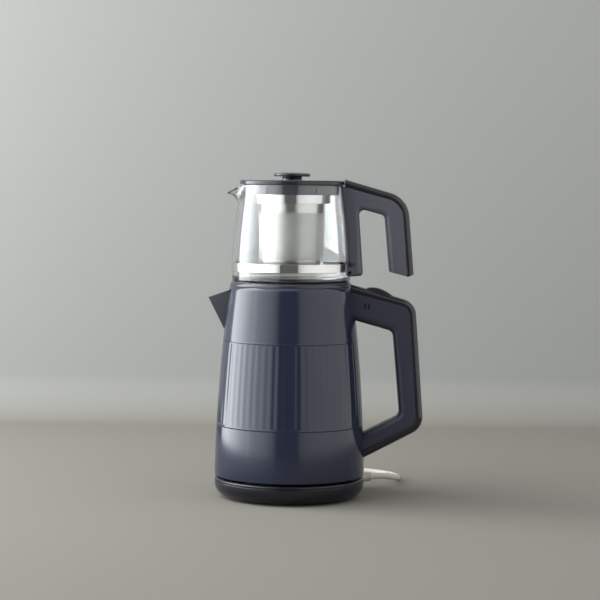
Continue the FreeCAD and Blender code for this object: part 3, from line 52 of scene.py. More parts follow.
# The values of a dictionary as v.low for values["low"].
def named(values):
    return SimpleNamespace(**values)


# Sends points beside the axis, in mm, to the frame's metres.
def toFrame(points):
    return (np.asarray(points, float) + (axisX, 0, 0)) / 1000


def newObject(name, data):
    thing = bpy.data.objects.new(name, data)
    bpy.context.scene.collection.objects.link(thing)
    return thing


# Gives a CAD node one finish.
def dressNode(nodeName, finish):
    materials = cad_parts[nodeName].data.materials
    materials.clear()
    materials.append(finish)


# Quads of a grid of rows by columns, joined round where asked.
def gridQuads(rows, columns, wrapRows=False, wrapColumns=False):
    index = np.arange(rows * columns).reshape(rows, columns)
    below, above = index, np.roll(index, -1, axis=0)
    if not wrapRows:
        below, above = below[:-1], above[:-1]
    quads = np.stack([below, np.roll(below, -1, axis=1), np.roll(above, -1, axis=1), above], -1)
    if not wrapColumns:
        quads = quads[:, :-1]
    return quads.reshape(-1, 4)


# Makes a piece of the object from points in mm and faces, closes its seams and poles, points its faces
# outwards, thickens it inwards to sheet mm, and puts it on its body in place of its CAD nodes.
def makePiece(name, points, faces, finish, body, nodes, sheet=0):
    mesh = bpy.data.meshes.new(name)
    points = toFrame(points).reshape(-1, 3).tolist()
    mesh.from_pydata(points, [], [list(map(int, face)) for face in faces])
    work = bmesh.new()
    work.from_mesh(mesh)
    bmesh.ops.remove_doubles(work, verts=work.verts, dist=2e-6)
    bmesh.ops.recalc_face_normals(work, faces=work.faces)
    work.to_mesh(mesh)
    work.free()
    mesh.polygons.foreach_set("use_smooth", np.ones(len(mesh.polygons), bool))
    piece = newObject(name, mesh)
    mesh.materials.append(finish)
    if sheet:
        solidify = piece.modifiers.new("Solidify", "SOLIDIFY")
        solidify.thickness = sheet / 1000
        solidify.offset = -1
        solidify.use_even_offset = False
    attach(piece, body)
    if nodes:
        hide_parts(*nodes)
        for nodeName in nodes:
            dressNode(nodeName, finish)
    return piece


# Corners rounded by arcs: at each one the arc's ends lie radius * tan(turn / 2) along its two runs, and
# its centre lies inside the corner, radius / cos(turn / 2) away from it.
# Extra points a little way from each arc keep the flats flat under smooth shading.
def roundedLine(corners, radii, closed=True, steps=5, hold=0.35):
    corners = np.asarray(corners, float)
    count = len(corners)
    radii = np.broadcast_to(radii, count)
    line = []
    for place in range(count):
        corner, radius = corners[place], radii[place]
        if radius <= 0 or (not closed and place in (0, count - 1)):
            line.append(corner[None])
            continue
        back, ahead = corners[place - 1] - corner, corners[(place + 1) % count] - corner
        backLength, aheadLength = np.linalg.norm(back), np.linalg.norm(ahead)
        back, ahead = back / backLength, ahead / aheadLength
        turn = math.pi - math.acos(np.clip(back @ ahead, -1, 1))
        if turn < 1e-3:
            line.append(corner[None])
            continue
        reach = min(radius * math.tan(turn / 2), 0.48 * backLength, 0.48 * aheadLength)
        radius = reach / math.tan(turn / 2)
        inwards = (back + ahead) / np.linalg.norm(back + ahead)
        centre = corner + inwards * radius / math.cos(turn / 2)
        angle = turn * np.linspace(0, 1, steps + 1)[:, None]
        line.append(centre + (corner + back * reach - centre) * np.cos(angle)
                    - back * radius * np.sin(angle))
    line = np.concatenate(line)
    following = np.roll(line, -1, axis=0)
    gaps = following - line
    lengths = np.linalg.norm(gaps, axis=1)
    held = []
    for place in range(len(line)):
        held.append(line[place])
        if (closed or place < len(line) - 1) and lengths[place] > 4 * hold:
            step = gaps[place] * hold / lengths[place]
            held += [line[place] + step, following[place] - step]
    return np.array(held)


# A profile of (radius, height) carried round the axis: x = r cos a, y = r sin a, z = height.
# bend may change the angles, radii and heights of the whole grid.
def turnedGrid(profile, spokes, bend=None):
    spokeAngles = np.linspace(0, 2 * math.pi, spokes, endpoint=False)
    angle, radius = np.meshgrid(spokeAngles, profile[:, 0])
    height = np.repeat(profile[:, 1:], spokes, axis=1)
    if bend:
        angle, radius, height = bend(angle, radius, height)
    return np.stack([radius * np.cos(angle), radius * np.sin(angle), height], -1)


def turnedPiece(name, profile, finish, body, nodes, spokes=160, ring=True, bend=None):
    points = turnedGrid(profile, spokes, bend)
    quads = gridQuads(len(profile), spokes, wrapRows=ring, wrapColumns=True)
    return makePiece(name, points, quads, finish, body, nodes)


# The corners of a band round the axis, from its lower inner one.
def bandCorners(inner, outer, low, high):
    return [(inner, low), (outer, low), (outer, high), (inner, high)]


def smoothStep(value):
    value = np.clip(value, 0, 1)
    return value * value * (3 - 2 * value)


# helpers for finishes


# sRGB hex text to linear colour.
def hexColour(text):
    parts = np.array([int(text[place:place + 2], 16) for place in (1, 3, 5)]) / 255
    linear = np.where(parts <= 0.04045, parts / 12.92, ((parts + 0.055) / 1.055) ** 2.4)
    return (*linear.tolist(), 1.0)


# An empty node tree for a material, a lamp or the world.
def emptyTree(owner):
    owner.use_nodes = True
    owner.node_tree.nodes.clear()
    return owner.node_tree


# Adds a node with its settings and its inputs, each a value, a node's output, or a node, which
# stands for its first output.
def addNode(tree, kind, inputs=None, **settings):
    node = tree.nodes.new("ShaderNode" + kind)
    for key, value in settings.items():
        setattr(node, key, value)
    for key, value in (inputs or {}).items():
        if isinstance(value, bpy.types.Node):
            value = value.outputs[0]
        if isinstance(value, bpy.types.NodeSocket):
            tree.links.new(value, node.inputs[key])
        else:
            node.inputs[key].default_value = value
    return node


def mathNode(tree, operation, first, second=0.0):
    return addNode(tree, "Math", {0: first, 1: second}, operation=operation)


# Carries a value from one range to another, with soft ends where it is smooth.
def rangeNode(tree, value, low, high, toLow=0.0, toHigh=1.0, smooth=False):
    return addNode(tree, "MapRange", {
        "Value": value, "From Min": low, "From Max": high, "To Min": toLow, "To Max": toHigh},
        interpolation_type="SMOOTHSTEP" if smooth else "LINEAR")


# Noise by the size of one cell in mm; Object coordinates are metres.
def noiseNode(tree, place, cellMm, detail):
    return addNode(tree, "TexNoise", {"Vector": place, "Scale": 1000 / cellMm, "Detail": detail})


driftValues = dict(cellMm=45, darker=0.90, lighter=1.15, lift=0.0005)


# A colour that drifts over centimetres between a little darker and a little lighter.
def driftingColour(tree, place, colour):
    v = named(driftValues)
    darker = [channel * v.darker for channel in colour[:3]] + [1]
    lighter = [min(1, channel * v.lighter + v.lift) for channel in colour[:3]] + [1]
    cloud = noiseNode(tree, place, v.cellMm, 2.0)
    # the colour sockets of a Mix node are its seventh and eighth inputs and its third output
    return addNode(tree, "Mix", {0: cloud, 6: darker, 7: lighter}, data_type="RGBA").outputs[2]


# Any finish: one noise is its skin's fine bump and moves its roughness between the shares 1 - swing and
# 1 + swing. stretch draws the noise out, and drifts lets the colour drift.
def newFinish(name, colour, roughness, swing, cellMm, bumpMm, detail, inputs, stretch=None, drifts=False):
    finish = bpy.data.materials.new(name)
    tree = emptyTree(finish)
    place = addNode(tree, "TexCoord").outputs["Object"]
    base = hexColour(colour)
    if drifts:
        base = driftingColour(tree, place, base)
    if stretch:
        place = addNode(tree, "Mapping", {"Vector": place, "Scale": stretch})
    skin = noiseNode(tree, place, cellMm, detail)
    gloss = roughness
    if swing:
        gloss = rangeNode(tree, skin, 0, 1, roughness * (1 - swing), roughness * (1 + swing))
    bump = addNode(tree, "Bump", {"Height": skin, "Strength": 1.0, "Distance": bumpMm / 1000})
    shader = addNode(tree, "BsdfPrincipled", {
        "Base Color": base, "Roughness": gloss, "Normal": bump, **inputs})
    addNode(tree, "OutputMaterial", {"Surface": shader})
    return finish


# Injection-moulded plastic: a faint drift of colour, and the mould's surface in its skin.
def mouldedPlastic(name, colour, roughness, cellMm, bumpMm, ior=1.49):
    return newFinish(name, colour, roughness, 0.15, cellMm, bumpMm, 3.0, {"IOR": ior}, drifts=True)


# Metal: its colour is its own reflection. Brushed, its lines run round the axis; else it is evenly fine.
def metalSheet(name, colour, roughness, lineMm, bumpMm, brushed=True):
    stretch = (0.02, 0.02, 1.0) if brushed else None
    return newFinish(name, colour, roughness, 0.3, lineMm, bumpMm, 4.0, {"Metallic": 1.0}, stretch)


print("making finishes")
# glossy moulded polypropylene in blue-black: a wet-looking skin with very slight waves
casingGloss = mouldedPlastic("casingGlossPolypropylene", "#202436", 0.13, 14, 0.004)
# the same resin in the base and the collar, a little less polished
baseGloss = mouldedPlastic("baseGlossPolypropylene", "#101019", 0.20, 9, 0.004)
collarGloss = mouldedPlastic("collarGlossPolypropylene", "#24262f", 0.20, 9, 0.003)
# spark-eroded mould: an even satin that spreads highlights; its grain is drawn at 0.5 mm to show
handleSatin = mouldedPlastic("kettleHandleSatinPolypropylene", "#272838", 0.42, 0.5, 0.010)
teaHandleSatin = mouldedPlastic("teapotHandleSatinPolypropylene", "#4f4e59", 0.40, 0.5, 0.010)
spoutSatin = mouldedPlastic("spoutSatinPolypropylene", "#20232d", 0.36, 0.5, 0.008)
# high-gloss black caps along the handles, and the lid
spineGloss = mouldedPlastic("capGlossPolypropylene", "#1a1a1f", 0.16, 11, 0.003)
lidGloss = mouldedPlastic("lidGlossPolypropylene", "#22222a", 0.14, 11, 0.003)
skirtSatin = mouldedPlastic("skirtSatinPolypropylene", "#44434a", 0.30, 0.6, 0.006)
rockerGloss = mouldedPlastic("rockerGlossPolypropylene", "#212129", 0.24, 6, 0.003)
underSatin = mouldedPlastic("undersideSatinPolypropylene", "#232329", 0.45, 0.6, 0.010)
# smoked light guide: nearly black until the lamp behind it is on
lensSmoked = mouldedPlastic("smokedPolycarbonate", "#0b0b0e", 0.10, 6, 0.002, ior=1.58)
# moulded rubber and silicone: dull, a little powdery
footRubber = mouldedPlastic("mouldedRubber", "#2b2a28", 0.75, 0.7, 0.020, ior=1.52)
sealSilicone = mouldedPlastic("mouldedSilicone", "#8f8d88", 0.55, 1.0, 0.008, ior=1.41)
# soft PVC of the mains lead and of the wires inside: pale, slightly waxy
cordPvc = mouldedPlastic("softPvc", "#b7b1a8", 0.48, 1.6, 0.012, ior=1.53)
wirePvc = mouldedPlastic("wirePvc", "#d6d1c8", 0.45, 1.6, 0.006, ior=1.53)
# what the switch, the coupler and the indicator are made of
switchPolyamide = mouldedPlastic("palePolyamide", "#dcd7cb", 0.5, 0.8, 0.008, ior=1.53)
boardEpoxy = mouldedPlastic("glassEpoxyBoard", "#2f5d3a", 0.4, 0.8, 0.006, ior=1.55)
lampEpoxy = mouldedPlastic("castEpoxyLamp", "#e4e4e2", 0.12, 3, 0.002, ior=1.55)
polishedSteel = metalSheet("polishedStainlessSteel", "#cccbc7", 0.07, 0.25, 0.0006)
brushedSteel = metalSheet("brushedStainlessSteel", "#c2c1bd", 0.22, 0.3, 0.004)
sieveSteel = metalSheet("pressedStainlessSieve", "#c2c0ba", 0.20, 0.4, 0.002)
screwSteel = metalSheet("zincPlatedSteel", "#a9a9a6", 0.33, 0.5, 0.006, brushed=False)
pressedAluminium = metalSheet("pressedAluminium", "#b6b6b3", 0.38, 0.6, 0.010, brushed=False)
stampedBrass = metalSheet("stampedBrass", "#c9a35c", 0.30, 0.4, 0.005, brushed=False)
# blown borosilicate: clear, with waves of a few hundredths of a millimetre over centimetres
jugGlass = newFinish("blownBorosilicateGlass", "#fbfdfd", 0.0, 0, 38, 0.03, 1.0,
                     {"IOR": 1.473, "Transmission Weight": 1.0})

# camera: level with the lid, far back, and leaning by less than a degree
print("placing camera")
cameraValues = dict(
    distance=2000, height=323.5, aimHeight=203.8, aimBeside=9.4, lens=116.4, sensor=36, roll=0.6)


def placeCamera():
    v = named(cameraValues)
    data = bpy.data.cameras.new("camera")
    data.lens = v.lens
    data.sensor_width = v.sensor
    camera = newObject("camera", data)
    camera.location = toFrame((v.aimBeside, -v.distance, v.height))
    drop = math.atan2(v.height - v.aimHeight, v.distance)
    camera.rotation_mode = "ZXY"  # rolled about its own line of sight first
    camera.rotation_euler = (math.pi / 2 - drop, 0, math.radians(v.roll))
    bpy.context.scene.camera = camera


placeCamera()

# mains lead: one curve from the ribbed sleeve, back behind the kettle, two turns, and the plug
print("making mains lead")
leadValues = dict(
    diameter=6.6, length=0.70, exitRadius=105.6, exitAngle=35, exitHeight=12, coilCentre=(35, 128),
    coilGap=0.05, outerTurn=41.3, innerTurn=34.7, turnFrom=77.9, turnTo=784.5, turnPoints=30, inAfter=250,
    inOver=110,
    toCoil=[
        (99.6, 69.7, 12.0), (113.0, 85.5, 7.6), (119.0, 106.5, 3.8), (114.2, 129.5, 3.4),
        (98.0, 149.0, 3.4), (75.0, 160.0, 3.4)],
    toPlug=[(50.0, 159.5, 4.4), (31.0, 166.0, 10.1), (12.0, 170.0, 12.6), (-4.0, 171.5, 13.5)])
exitTurn = math.radians(leadValues["exitAngle"])
exitWay = np.array([math.cos(exitTurn), math.sin(exitTurn), 0])


# A place on the lead's way out of the base, by its distance from the axis.
def onExitWay(distance):
    return exitWay * distance + (0, 0, leadValues["exitHeight"])


# Turns on the floor: x and y go round the coil's centre. The first turn keeps its radius, and then the
# radius moves in by one diameter, beside the lead's own start.
def coilPoints():
    v = named(leadValues)
    angle = np.linspace(v.turnFrom, v.turnTo, v.turnPoints)[:-1]
    inwards = smoothStep((angle - v.turnFrom - v.inAfter) / v.inOver)
    radius = v.outerTurn + (v.innerTurn - v.outerTurn) * inwards
    turn = np.radians(angle)
    return np.stack([v.coilCentre[0] + radius * np.cos(turn), v.coilCentre[1] + radius * np.sin(turn),
                     np.full(len(angle), v.diameter / 2 + v.coilGap)], -1)


def makeLead():
    v = named(leadValues)
    exitPoint = onExitWay(v.exitRadius)
    route = np.concatenate([[exitPoint], v.toCoil, coilPoints(), v.toPlug])
    curve = bpy.data.curves.new("mainsLead", "CURVE")
    curve.dimensions = "3D"
    spline = curve.splines.new("NURBS")
    spline.points.add(len(route) - 1)
    spline.points.foreach_set("co", np.c_[toFrame(route), np.ones(len(route))].ravel())
    spline.order_u = 3
    spline.use_endpoint_u = True
    spline.resolution_u = 6
    curve.bevel_depth = v.diameter / 2000
    curve.bevel_resolution = 4
    curve.use_fill_caps = True
    lead = newObject("mainsLead", curve)
    curve.materials.append(cordPvc)
    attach(lead, "power_base")
    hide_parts("cord_lead", "cord_tail", "cord_coil")
    return lead, toFrame(exitPoint)


mainsLead, leadExit = makeLead()

sleeveValues = dict(length=27, overlap=0.4, wide=5.3, narrow=4.0, rib=0.75, ribs=9)


# A ribbed sleeve as a profile of (radius, place along it): it tapers, and square ribs stand on it.
def ribbedProfile(length, wide, narrow, rib, ribs):
    pitch = length / (ribs + 0.5)
    corners = [(0, 0)]
    for place in range(ribs):
        share = (place + 0.5) / ribs
        radius = wide + (narrow - wide) * share
        at = pitch * (place + 0.25)
        corners += [(radius, at), (radius + rib, at), (radius + rib, at + pitch / 2),
                    (radius, at + pitch / 2)]
    return corners + [(narrow, length), (0, length)]


# A turned piece of the lead, laid so that its profile's heights run from a place along a direction.
def laidPiece(name, profile, origin, direction, nodes, spokes=48):
    side = np.cross((0, 0, 1), direction)
    side /= np.linalg.norm(side)
    up = np.cross(direction, side)
    points = turnedGrid(profile, spokes)
    points = origin + points[..., :1] * side + points[..., 1:2] * up + points[..., 2:] * direction
    quads = gridQuads(len(profile), spokes, wrapColumns=True)
    return makePiece(name, points, quads, cordPvc, "power_base", nodes)


def makeSleeve():
    v = named(sleeveValues)
    corners = ribbedProfile(v.length + v.overlap, v.wide, v.narrow, v.rib, v.ribs)
    profile = roundedLine(corners, 0.25, closed=False, steps=2, hold=0.2)
    origin = onExitWay(leadValues["exitRadius"] - v.length)
    return laidPiece("leadSleeve", profile, origin, exitWay, ["cord_strain_relief"])


leadSleeve = makeSleeve()

# neck: (radius, place beyond the sleeve); rounds: the rounding of each corner from the sleeve's end on
plugValues = dict(
    sleeve=24, narrow=4.0, wide=6.2, rib=0.7, ribs=5, overlap=0.5, body=34, radius=17.6, flangeAt=20.7,
    neck=[(8.2, 3), (11.5, 7), (13.2, 13), (14.0, 18.5)], rounds=[0.5, 2, 3, 3, 1.2, 0.8, 0.9, 0])


# The plug goes on along the lead's last run and tilts so that its flange stands on the floor.
def makePlug():
    v = named(plugValues)
    before, end = np.array(leadValues["toPlug"][-2:])
    heading = math.atan2(end[1] - before[1], end[0] - before[0])
    rise = math.asin((v.radius - end[2]) / (v.sleeve + v.flangeAt))
    direction = np.array([math.cos(heading) * math.cos(rise), math.sin(heading) * math.cos(rise),
                          math.sin(rise)])
    corners = ribbedProfile(v.sleeve, v.narrow, v.wide, v.rib, v.ribs)[:-2]
    radii = [0.2] * len(corners) + v.rounds
    face = v.sleeve + v.body
    corners += [(v.wide, v.sleeve)] + [(radius, v.sleeve + at) for radius, at in v.neck]
    corners += [(v.radius, v.sleeve + v.flangeAt), (v.radius, face), (0, face)]
    profile = roundedLine(corners, radii, closed=False, steps=3, hold=0.3)
    return laidPiece("mainsPlug", profile, end - direction * v.overlap, direction, ["mains_plug"])


mainsPlug = makePlug()

# power base
print("making power base")
baseValues = dict(
    radius=77.3, low=2.0, high=21.2, underside=66.0, belly=15.0, groove=18.0, hubHole=16.1, wall=2.4,
    plateEdge=63.8, lipThick=2.0)


# A quarter ellipse from the underside up to the belly, a fine groove, and a flat top with a hole.
def makeBaseCover():
    v = named(baseValues)
    belly = [(v.radius - (v.radius - v.underside) * (1 - math.cos(turn)),
              v.belly - (v.belly - v.low) * math.sin(turn))
             for turn in np.linspace(math.pi / 2, 0, 14)]
    corners = [(v.plateEdge, v.low), (v.underside - 1, v.low)] + belly + [
        (v.radius, v.groove - 0.45), (v.radius - 0.9, v.groove - 0.25),
        (v.radius - 0.9, v.groove + 0.25), (v.radius - 0.1, v.groove + 0.45),
        (v.radius - 0.2, v.high - 1.3), (v.radius - 1.5, v.high), (v.hubHole, v.high),
        (v.hubHole, v.high - v.wall), (v.radius - 4, v.high - v.wall), (v.radius - v.wall, v.belly),
        (v.underside - 1, v.low + v.lipThick), (v.plateEdge, v.low + v.lipThick)]
    radii = [0.2, 0] + [0] * len(belly) + [0.25, 0.2, 0.2, 0.25, 0.5, 0.5, 0.5, 0.2, 0, 0, 0, 0.2]
    profile = roundedLine(corners, radii, steps=3)
    turnedPiece("baseCover", profile, baseGloss, "power_base", ["base_cover"], 200)


makeBaseCover()

# kettle casing; lowEdge: how far up each row of its lower edge lies, and how far in
print("making kettle")
casingValues = dict(
    low=23.5, high=219.0, bottomRadius=77.6, topRadius=63.0, bulge=2.8, wall=2.3,
    lowEdge=[(0, 0.7), (0.12, 0.28), (0.4, 0.05)], beads=(76.3, 162.8), beadProud=0.34, beadHalf=1.1,
    flutes=60, fluteDepth=0.17, fluteLow=77.4, fluteHigh=161.6, fluteEnd=1.0, spokes=600, plainRows=24,
    holeRows=20, holeAt=(173.2, 182.5, 193.0, 203.5, 214.0), holeHalf=(0.6, 3.5, 7.6, 12.8, 18.0))


# The side of the casing is an arc from bottom to top that stands out from its chord by the bulge.
def casingRadius(height):
    v = named(casingValues)
    run, rise = v.bottomRadius - v.topRadius, v.high - v.low
    chord = math.hypot(run, rise)
    curve = chord * chord / (8 * v.bulge) + v.bulge / 2
    middleX = (v.bottomRadius + v.topRadius) / 2 - rise / chord * (curve - v.bulge)
    middleZ = (v.low + v.high) / 2 - run / chord * (curve - v.bulge)
    return middleX + np.sqrt(curve * curve - (np.asarray(height, float) - middleZ) ** 2)


# A turned sheet with the opening behind the spout. The opening's edge runs within the thickness of the
# spout's walls, which are wider apart by wider mm further in.
def openedPiece(name, points, finish, nodes, sheet, wider=0.0):
    quads = gridQuads(*points.shape[:2], wrapColumns=True)
    centres = points.reshape(-1, 3)[quads].mean(axis=1)
    at, half = casingValues["holeAt"], casingValues["holeHalf"]
    inside = ((centres[:, 0] < 0) & (centres[:, 2] > at[0]) & (centres[:, 2] < at[-1])
              & (np.abs(centres[:, 1]) < np.interp(centres[:, 2], at, half) + wider))
    makePiece(name, points, quads[~inside], finish, "kettle", nodes, sheet)


def makeCasing():
    v = named(casingValues)
    edgeUp, edgeIn = np.transpose(v.lowEdge)
    ends = np.linspace(0, v.fluteEnd, 5)
    across = v.beadHalf * np.array([-1.4, -1, -0.66, -0.33, 0, 0.33, 0.66, 1, 1.4])
    heights = np.unique(np.concatenate([
        v.low + edgeUp, np.linspace(v.low + 0.8, v.high, v.plainRows),
        np.linspace(v.holeAt[0], v.holeAt[-1], v.holeRows), v.fluteLow + ends, v.fluteHigh - ends,
        *[bead + across for bead in v.beads]]))
    heights = heights[np.diff(heights, append=1e9) > 0.08]  # rows that nearly meet are one
    heights[-1] = v.high
    radius = casingRadius(heights)
    radius[:len(edgeIn)] -= edgeIn
    for bead in v.beads:
        share = np.clip((heights - bead) / v.beadHalf, -1, 1)
        radius += v.beadProud * np.cos(share * math.pi / 2) ** 2

    # wide ribs with soft valleys between: depth * cos(n a / 2) ^ 2, fading out at both ends
    def flutes(angle, radius, height):
        fade = (smoothStep((height - v.fluteLow) / v.fluteEnd)
                * smoothStep((v.fluteHigh - height) / v.fluteEnd))
        valley = np.cos(angle * v.flutes / 2) ** 2
        return angle, radius - v.fluteDepth * valley * fade, height

    points = turnedGrid(np.stack([radius, heights], -1), v.spokes, flutes)
    openedPiece("kettleCasing", points, casingGloss, ["kettle_body"], v.wall)


makeCasing()

vesselValues = dict(
    floor=44.0, corner=8.0, inset=3.4, sheet=0.7, rim=61.6, rows=80, spokes=400, holeWider=1.5)


# A flat floor, a round corner, and a wall that follows the casing at an even distance.
def makeVessel():
    v = named(vesselValues)
    low = v.floor + v.corner
    turn = np.linspace(0, math.pi / 2, 7)
    cornerRadius = casingRadius(low) - v.inset - v.corner * (1 - np.sin(turn))
    cornerHeight = low - v.corner * np.cos(turn)
    wall = np.linspace(low + 5, casingValues["high"] - 0.5, v.rows)
    outer = np.stack([np.concatenate([[0], cornerRadius, casingRadius(wall) - v.inset, [v.rim]]),
                      np.concatenate([[v.floor], cornerHeight, wall, [casingValues["high"]]])], -1)
    openedPiece("waterVessel", turnedGrid(outer, v.spokes), brushedSteel, ["water_vessel"],
                v.sheet, v.holeWider)


makeVessel()

collarValues = dict(
    low=219.7, high=223.3, outer=63.0, top=59.8, curve=5.5, seat=59.5, ledge=222.5, opening=40.0,
    skirtLow=219.02, skirtInner=62.0)


# The shoulder is an arc of one radius from the skirt's lower edge to the top. Its centre lies square to
# the middle of its chord.
def makeCollar():
    v = named(collarValues)
    start, end = np.array([v.outer, v.skirtLow]), np.array([v.top, v.high])
    chord = end - start
    half = np.linalg.norm(chord) / 2
    square = np.array([-chord[1], chord[0]]) / (2 * half)
    centre = start + chord / 2 + square * math.sqrt(v.curve ** 2 - half ** 2)
    first, last = [math.atan2(*(point - centre)[::-1]) for point in (start, end)]
    turn = np.linspace(first, last, 9)
    shoulder = centre + v.curve * np.stack([np.cos(turn), np.sin(turn)], -1)
    corners = [(v.opening, v.low), (v.skirtInner, v.low), (v.skirtInner, v.skirtLow), *shoulder.tolist(),
               (v.seat, v.high), (v.seat, v.ledge), (v.opening, v.ledge)]
    radii = [0.4, 0.1, 0] + [0] * len(turn) + [0.1, 0.15, 0.5]
    profile = roundedLine(corners, radii, steps=4, hold=0.15)
    turnedPiece("kettleCollar", profile, collarGloss, "kettle", ["kettle_rim_collar"],
                200)


makeCollar()

# handles: a closed section carried along two lines, the gap's edge and the outer edge


# A rounded section as three columns: measured from the outer line or not, depth from that line in mm,
# and place sideways in mm. Its corners are quarter ellipses of (depth, sideways) size.
def handleSection(half, innerRound, outerRound, steps=6, hold=0.4):
    turn = np.linspace(0, math.pi / 2, steps + 1)
    rows = []
    for fromOuter, (depth, side) in ((False, innerRound), (True, outerRound)):
        arcDepth = np.r_[0, depth * (1 - np.cos(turn)), depth + hold]
        arcSide = np.r_[half - side - hold, half - side + side * np.sin(turn), half]
        row = np.stack([np.full(len(arcDepth), fromOuter), arcDepth, arcSide], -1)
        rows.append(row[::-1] if fromOuter else row)
    upper = np.concatenate(rows)
    lower = upper[::-1] * (1, 1, -1)
    return np.concatenate([upper, lower])


# One edge line through corners with arcs, with the same number of points whatever its corners are:
# runs points on each straight run and bends points on each arc.
def edgeLine(corners, radii, runs, bends=14):
    corners = np.asarray(corners, float)
    parts, start = [], corners[0]
    for place in range(1, len(corners) - 1):
        bend = roundedLine(corners[place - 1:place + 2], [0, radii[place - 1], 0], False, bends, math.inf)
        bend = bend[1:-1]
        share = np.linspace(0, 1, runs[place - 1])[:-1, None]
        parts += [start + (bend[0] - start) * share, bend[:-1]]
        start = bend[-1]
    share = np.linspace(0, 1, runs[-1])[:, None]
    parts.append(start + (corners[-1] - start) * share)
    return np.concatenate(parts)


# P = line + depth * unit vector between the lines, placed sideways along Y. Both ends are closed, with a
# rounding of endRound mm each, and lift moves the points once more.
def sweptHandle(name, inner, outer, section, finish, body, nodes, lift=None, endRound=(0, 0)):
    across = outer - inner
    across /= np.linalg.norm(across, axis=1, keepdims=True)
    fromOuter, depth, side = section.T[..., None]
    flat = np.where(fromOuter > 0.5, outer[:, None] - across[:, None] * depth,
                    inner[:, None] + across[:, None] * depth)
    points = np.stack([flat[..., 0], np.broadcast_to(side[:, 0], flat.shape[:2]), flat[..., 1]], -1)
    for end, radius in zip((0, -1), endRound):
        if radius <= 0:
            continue
        ring, nextRing = points[end], points[1 if end == 0 else -2]
        middle = ring.mean(axis=0)
        along = (ring - nextRing).mean(axis=0)
        along /= np.linalg.norm(along)
        size = np.linalg.norm(ring - middle, axis=1).min()
        rows = []
        for turn in np.linspace(0, math.pi / 2, 5)[1:]:
            shrink = 1 - radius * (1 - math.cos(turn)) / size
            rows.append(middle + (ring - middle) * shrink + along * radius * math.sin(turn))
        points = np.concatenate([rows[::-1], points] if end == 0 else [points, rows])
    if lift:
        points = lift(points)
    rows, columns = points.shape[:2]
    faces = gridQuads(rows, columns, wrapColumns=True).tolist()
    faces += [list(range(columns))[::-1], list(range((rows - 1) * columns, rows * columns))]
    return makePiece(name, points, faces, finish, body, nodes)


# Pushes points that lie inside a round wall out to it along X, so that a handle meets the wall.
def meetWall(points, wallRadius):
    need = wallRadius(points[..., 2])
    reach = np.sqrt(np.maximum(need ** 2 - points[..., 1] ** 2, 0))
    points[..., 0] = np.maximum(points[..., 0], reach)
    return points


# (x, height) of the corners of three lines: the gap's edge, the cap's underside and the outer edge
kettleHandleValues = dict(
    half=12.4, innerRound=(7.5, 5.0), outerRound=(0.9, 0.9), capHalf=12.5, capInnerRound=(0.8, 0.8),
    capRound=(4.2, 6.5), wallDepth=0.9, gap=[(62.0, 184.9), (105.4, 172.9), (113.4, 86.0), (64.0, 61.3)],
    under=[(61.0, 213.1), (121.4, 197.85), (130.65, 78.6), (62.0, 42.2)],
    cap=[(61.0, 220.7), (128.1, 202.6), (138.0, 73.7), (62.0, 34.0)], gapRadii=(8.0, 8.0),
    underRadii=(9.8, 11.8), capRadii=(17.0, 19.0), runs=(26, 12, 22), rockerFrom=77.9, rockerTo=105.3,
    rockerHalf=7.0, rockerDepth=6.4, rockerAbove=190)


def kettleWall(height):
    v = named(casingValues)
    return casingRadius(np.clip(height, v.low, v.high)) - kettleHandleValues["wallDepth"]


def makeKettleHandle():
    v = named(kettleHandleValues)
    inner = edgeLine(v.gap, v.gapRadii, v.runs)
    under = edgeLine(v.under, v.underRadii, v.runs)
    cap = edgeLine(v.cap, v.capRadii, v.runs)
    sweptHandle("kettleHandleShell", inner, under, handleSection(v.half, v.innerRound, v.outerRound),
                handleSatin, "kettle", ["kettle_handle_shell"],
                lambda points: meetWall(points, kettleWall))
    capSection = handleSection(v.capHalf, v.capInnerRound, v.capRound)
    # the rocker stands in a well: between its ends the middle of the section is sunk
    half = v.rockerHalf
    wellSide = np.array([half + 0.5, half, half - 0.01, -half + 0.01, -half, -half - 0.5])
    wellDepth = np.array([0, 0.15, 1, 1, 0.15, 0])
    flatTop = (capSection[:, 0] > 0.5) & (capSection[:, 1] < 1e-9)
    first = np.flatnonzero(flatTop & (capSection[:, 2] > 0))[-1]
    well = np.stack([np.ones(6), np.zeros(6), wellSide], -1)
    wellSection = np.concatenate([capSection[:first + 1], well, capSection[first + 1:]])
    columns = np.arange(first + 1, first + 7)

    def sink(points):
        x, height = points[:, columns[0], 0], points[:, columns[0], 2]
        inWell = (x > v.rockerFrom) & (x < v.rockerTo) & (height > v.rockerAbove)
        points[:, columns, 2] -= inWell[:, None] * wellDepth * v.rockerDepth
        return meetWall(points, kettleWall)

    # two close rows at each end of the well keep its ends upright
    extra = np.array([v.rockerFrom - 0.02, v.rockerFrom + 0.02, v.rockerTo - 0.02, v.rockerTo + 0.02])
    top = v.runs[0] - 1
    reached = np.concatenate([cap[:top, 0], extra])
    share = np.sort((reached - cap[0, 0]) / (cap[top, 0] - cap[0, 0]))[:, None]
    newCap, newUnder = [np.concatenate([line[0] + (line[top] - line[0]) * share, line[top:]])
                        for line in (cap, under)]
    sweptHandle("kettleHandleCap", newUnder, newCap, wellSection, spineGloss, "kettle",
                ["kettle_handle_spine"], sink)


makeKettleHandle()

rockerValues = dict(
    start=78.6, end=104.6, half=6.3, proud=3.4, startProud=1.1, endProud=0.3, depth=4.4,
    round=(1.2, 1.68), underRound=(0.4, 0.4), rootX=64.0, rootHeight=219.9, slope=0.2699)


